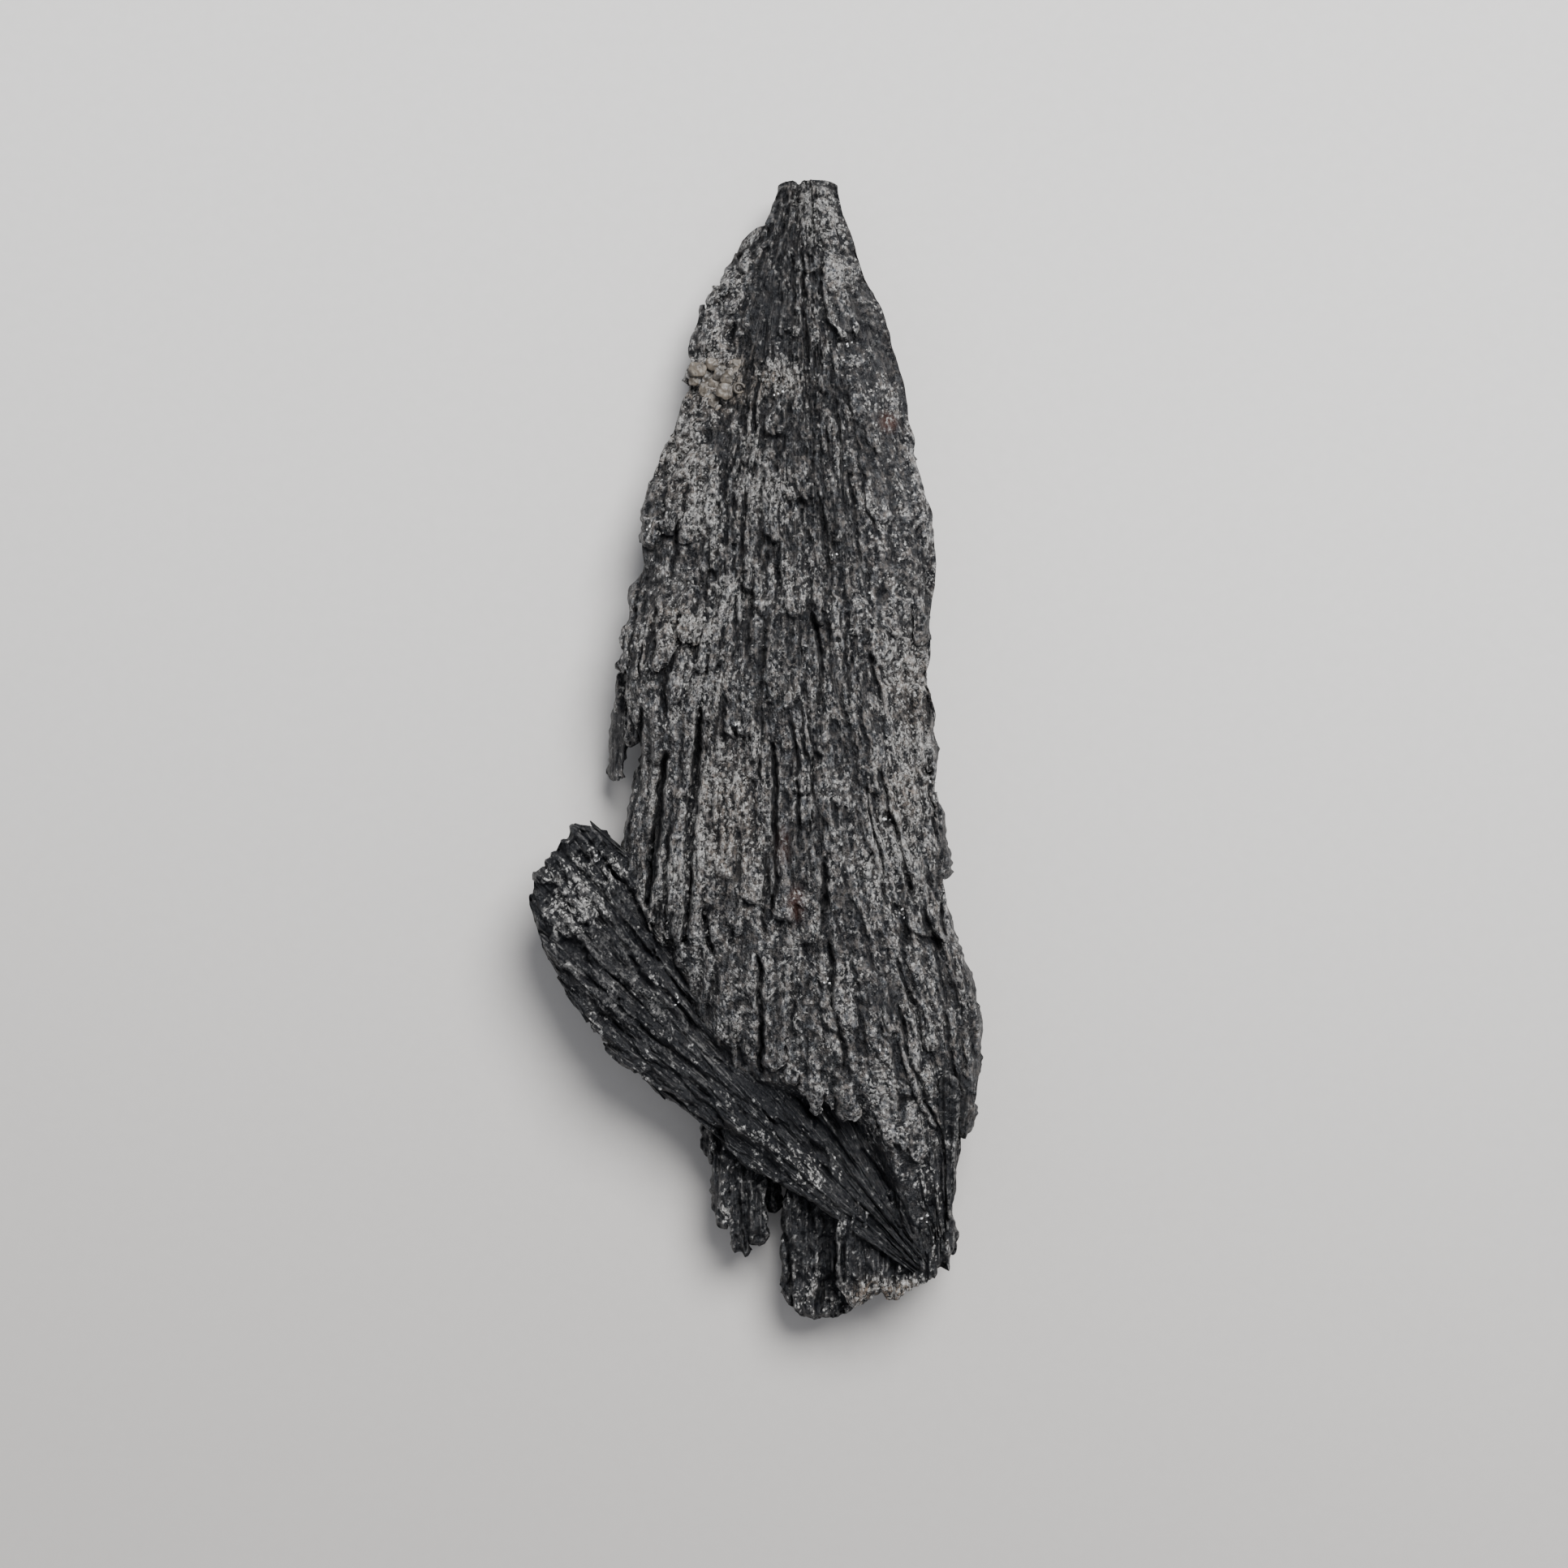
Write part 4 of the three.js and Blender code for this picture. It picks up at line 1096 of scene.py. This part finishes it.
class Shading:
    """A new material and its shader graph. Most methods add nodes and give back the last one's
    output socket; where they take a value, they take a number or such a socket."""

    def __init__(self, name):
        self.material = bpy.data.materials.new(name)
        self.material.use_nodes = True
        self.tree = self.material.node_tree
        self.shader = self.tree.nodes["Principled BSDF"]
        self.place = self.add("ShaderNodeTexCoord").outputs["Object"]

    def add(self, kind, inputs=(), **settings):
        """Adds a node with its settings; inputs holds pairs of an input's name or place and a value."""
        made = self.tree.nodes.new(kind)
        for key, value in settings.items():
            setattr(made, key, value)
        for key, value in inputs:
            self.fill(made.inputs[key], value)
        return made

    def fill(self, socket, value):
        """Sets an input socket, or links it to an output socket."""
        if isinstance(value, bpy.types.NodeSocket):
            self.tree.links.new(value, socket)
        else:
            socket.default_value = value

    def math(self, operation, a, b=0.0, c=0.0, clamp=False):
        inputs = enumerate((a, b, c))
        return self.add("ShaderNodeMath", inputs, operation=operation, use_clamp=clamp).outputs[0]

    def times(self, a, b, clamp=False):
        return self.math("MULTIPLY", a, b, clamp=clamp)

    def times_add(self, a, b, c, clamp=False):
        return self.math("MULTIPLY_ADD", a, b, c, clamp)

    def remap(self, value, low, high, to_low=0.0, to_high=1.0):
        """A smooth step over the range from low to high, which runs from to_low to to_high."""
        inputs = enumerate((value, low, high, to_low, to_high))
        return self.add("ShaderNodeMapRange", inputs, interpolation_type="SMOOTHSTEP").outputs[0]

    def mix(self, factor, a, b):
        inputs = ((0, factor), (6, a), (7, b))
        return self.add("ShaderNodeMix", inputs, data_type="RGBA").outputs[2]

    def attribute(self, name, output="Fac"):
        return self.add("ShaderNodeAttribute", attribute_name=name).outputs[output]

    def mapping(self, place, scale, moved=(0, 0, 0)):
        inputs = (("Scale", scale), ("Location", moved), ("Vector", place))
        return self.add("ShaderNodeMapping", inputs).outputs["Vector"]

    def cloud(self, place, scale, detail):
        """Cloudy noise from 0 to 1, with its own scale along each axis."""
        scaled = self.mapping(place, scale)
        inputs = (("Scale", 1), ("Detail", detail), ("Roughness", 0.62), ("Vector", scaled))
        return self.add("ShaderNodeTexNoise", inputs).outputs["Fac"]

    def grains(self, place, size, stretch, twist):
        """Two random values for each of many long grains, and the distance from its middle."""
        warp = self.add("ShaderNodeTexNoise", (("Vector", place), ("Scale", 1.6 / size)))
        inputs = (("Fac", size * 0.9), ("Color1", place), ("Color2", warp.outputs["Color"]))
        moved = self.add("ShaderNodeMixRGB", inputs, blend_type="LINEAR_LIGHT").outputs["Color"]
        scaled = self.mapping(moved, (1, 1 / stretch, 1), (twist, twist * 2, 0))
        cells = self.add("ShaderNodeTexVoronoi", (("Scale", 1 / size), ("Vector", scaled))).outputs
        parts = self.add("ShaderNodeSeparateColor", (("Color", cells["Color"]),)).outputs
        return parts["Red"], parts["Green"], cells["Distance"]

    def bump(self, height, strength, depth):
        """Gives the material a fine rough surface, depth in metres."""
        inputs = (("Strength", strength), ("Distance", depth), ("Height", height))
        made = self.add("ShaderNodeBump", inputs)
        self.fill(self.shader.inputs["Normal"], made.outputs["Normal"])

    def finish(self, colour, roughness):
        self.fill(self.shader.inputs["Base Color"], colour)
        self.fill(self.shader.inputs["Roughness"], roughness)
        return self.material


def stone_material():
    """Near black in smooth parts and, as painted shade, in hollows; grey and grainy where worn and dusty.
    """
    s = Shading("black_stone")
    s.shader.inputs["Specular IOR Level"].default_value = 0.3
    mm = s.mapping(s.place, (1000, 1000, 1000))
    names = ("stand", "pale", "dark", "rust", "buff", "crest")
    stand, pale, dark, rust, buff, crest = [s.attribute(name) for name in names]
    grain = s.attribute("grain", "Vector")
    high = s.remap(stand, -0.35, 0.35)
    pick, other, distance = s.grains(mm, 0.28, 1.4, 0.0)
    pick_fine, other_fine, distance_fine = s.grains(mm, 0.17, 1.2, 5.0)
    streak = s.remap(s.cloud(grain, (2.6, 0.35, 0.35), 3), 0.35, 0.65)
    mottle = s.remap(s.cloud(mm, (1.7, 1.2, 1.7), 4), 0.36, 0.66)

    # dust, more of it where the stone is worn and stands high; the hollows stay dark as painted shade
    worn = s.times_add(pale, 0.7, s.times(high, 0.6))
    worn = s.times_add(dark, -0.8, worn, clamp=True)
    level = s.times(mottle, 0.16)
    for part, share in ((streak, 0.18), (other, 0.32), (other_fine, 0.42)):
        level = s.times_add(part, share, level)
    level = s.remap(level, 0.30, 0.82)
    dust_and_painted_shade = s.times_add(worn, 0.78, s.times_add(dark, -0.35, 0.38))
    tone = s.times(level, dust_and_painted_shade, clamp=True)
    # painted shade: the small hollows between the crumbs are darkened
    tone = s.times(tone, s.remap(crest, -0.22, 0.08, 0.29, 1.0))
    dust = s.mix(buff, s.mix(mottle, COOL_DUST, WARM_DUST), BUFF_DUST)
    body = s.mix(rust, s.mix(tone, BLACK, dust), RUST_STAIN)
    # pale lines along the grain, where plates end
    line = s.cloud(grain, (3.4, 0.12, 0.3), 2)
    line = s.remap(line, 0.58, 0.64, 0.0, s.remap(dark, 0.4, 1.0, 0.20, 0.36))
    line = s.times(line, s.remap(mottle, 0.2, 0.8, 0.15, 1.0))
    body = s.mix(line, body, PLATE_EDGE)
    # worn crests, partly real wear and partly a painted highlight on raised points
    ridge = s.times(s.remap(crest, 0.08, 0.3), s.remap(other_fine, 0.4, 0.8, 0.0, 0.6))
    ridge = s.times(ridge, s.remap(dark, 0.5, 1.3, 1.0, 0.1))
    body = s.mix(ridge, body, s.mix(buff, WORN_CREST_AND_HIGHLIGHT, BUFF_CREST_AND_HIGHLIGHT))
    # bright grains, partly pale mineral and partly painted glints, more of them where the stone is pale
    # and high
    crumbly = s.times_add(dark, -0.5, s.times(high, 0.4))
    crumbly = s.times_add(pale, 1.25, crumbly, clamp=True)
    bar = s.times_add(crumbly, -0.33, 0.960)
    bright = s.remap(s.math("SUBTRACT", pick, bar), 0.0, 0.06)
    bright = s.times(bright, s.remap(distance, 0.2, 0.5, 0.8, 0.2))
    bright_fine = s.remap(s.math("SUBTRACT", pick_fine, bar), 0.0, 0.08)
    body = s.mix(s.times(bright_fine, 0.7), body, FINE_GRAIN_AND_GLINT)
    body = s.mix(bright, body, BRIGHT_GRAIN_AND_GLINT)

    # crumbs, fibres and facets too fine for the mesh
    facets = s.times_add(distance_fine, 0.7, distance)
    height = s.math("SUBTRACT", s.times(streak, 0.9), facets)
    height = s.math("ADD", height, s.cloud(mm, (5, 4, 5), 3))
    s.bump(height, s.remap(dark, 0.0, 0.8, 1.0, 0.6), 0.00017)
    return s.finish(body, s.remap(s.math("ADD", worn, other), 0.1, 1.4, 0.3, 0.7))


def plain_material(name, dark, light, roughness, grain, depth):
    """A material with clouded colour, uneven gloss and a fine rough surface."""
    s = Shading(name)
    patchy = s.cloud(s.place, (grain, grain, grain), 4)
    fine = s.cloud(s.place, (4 * grain, 4 * grain, 4 * grain), 3)
    s.bump(s.math("ADD", patchy, fine), 0.5, depth)
    colour = s.mix(s.remap(patchy, 0.35, 0.65), dark, light)
    return s.finish(colour, s.remap(fine, 0.3, 0.7, *roughness))


def paper_material():
    """Matt paper, darker and warmer towards the bottom of the view as painted fall-off of the light."""
    s = Shading("paper")
    parts = s.add("ShaderNodeSeparateXYZ", ((0, s.place),)).outputs
    # painted shade: the light's fall-off towards the bottom of the view
    down = s.remap(s.times_add(parts["X"], 0.2, parts["Y"]), -0.1, 0.06)
    colour = s.mix(down, (0.475, 0.452, 0.428, 1), (0.70, 0.685, 0.665, 1))
    fibre = s.cloud(s.place, (900, 900, 900), 4)
    colour = s.mix(s.remap(fibre, 0.3, 0.7, 0.0, 0.05), colour, (0.35, 0.33, 0.31, 1))
    s.bump(fibre, 0.15, 0.00003)
    return s.finish(colour, s.remap(fibre, 0.3, 0.7, 0.85, 0.95))


stone = stone_material()
for piece in pieces:
    piece.data.materials.append(stone)
crust = gathered("pale_crust", pale_crust())
crust.data.materials.append(plain_material(
    "crust", (0.028, 0.023, 0.018, 1), (0.125, 0.105, 0.082, 1), (0.3, 0.6), 1100, 0.00008))
plates = gathered("flakes", flakes())
plates.data.materials.append(plain_material(
    "flake", (0.30, 0.30, 0.30, 1), (0.75, 0.75, 0.74, 1), (0.1, 0.3), 2500, 0.00001))
for piece in pieces + [crust, plates]:
    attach(piece, "root")
    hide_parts(NODE)


# --- table, camera and light
TABLE_HALF = 0.6
# What the camera sees: the middle of the view, its width at the height of the view plane, and how
# high the camera hangs
VIEW_CENTRE = np.array([2.5, -3.0])
VIEW_WIDTH = 138.0
VIEW_PLANE = 6.0
VIEW_HEIGHT = 300.0
SENSOR = 36
WINDOW_PLACE = (0.18, 0.31, 0.54)
WINDOW_SIZE = 0.38
WINDOW_POWER = 8.0
ROOM_COLOUR = (0.9, 0.93, 1.0, 1)
ROOM_LIGHT = 0.5

edge = TABLE_HALF
corners = [(-edge, -edge, 0), (edge, -edge, 0), (edge, edge, 0), (-edge, edge, 0)]
table_data = bpy.data.meshes.new("table")
table_data.from_pydata(corners, [], [(0, 1, 2, 3)])
table_data.materials.append(paper_material())
table = bpy.data.objects.new("table", table_data)
bpy.context.scene.collection.objects.link(table)

camera_data = bpy.data.cameras.new("camera")
camera_data.sensor_width = SENSOR
camera_data.lens = SENSOR * (VIEW_HEIGHT - VIEW_PLANE) / VIEW_WIDTH
camera = bpy.data.objects.new("camera", camera_data)
camera.location = (*((VIEW_CENTRE - CENTRE) * MM), VIEW_HEIGHT * MM)
camera.rotation_euler = (0, 0, 0)
bpy.context.scene.collection.objects.link(camera)
bpy.context.scene.camera = camera

light_data = bpy.data.lights.new("window", "AREA")
light_data.shape = "DISK"
light_data.size = WINDOW_SIZE
light_data.energy = WINDOW_POWER
light = bpy.data.objects.new("window", light_data)
light.location = WINDOW_PLACE
light.rotation_euler = (-Vector(WINDOW_PLACE)).to_track_quat("-Z", "Y").to_euler()
bpy.context.scene.collection.objects.link(light)

world = bpy.data.worlds.new("room")
world.use_nodes = True
background = world.node_tree.nodes["Background"]
background.inputs["Color"].default_value = ROOM_COLOUR
background.inputs["Strength"].default_value = ROOM_LIGHT
bpy.context.scene.world = world
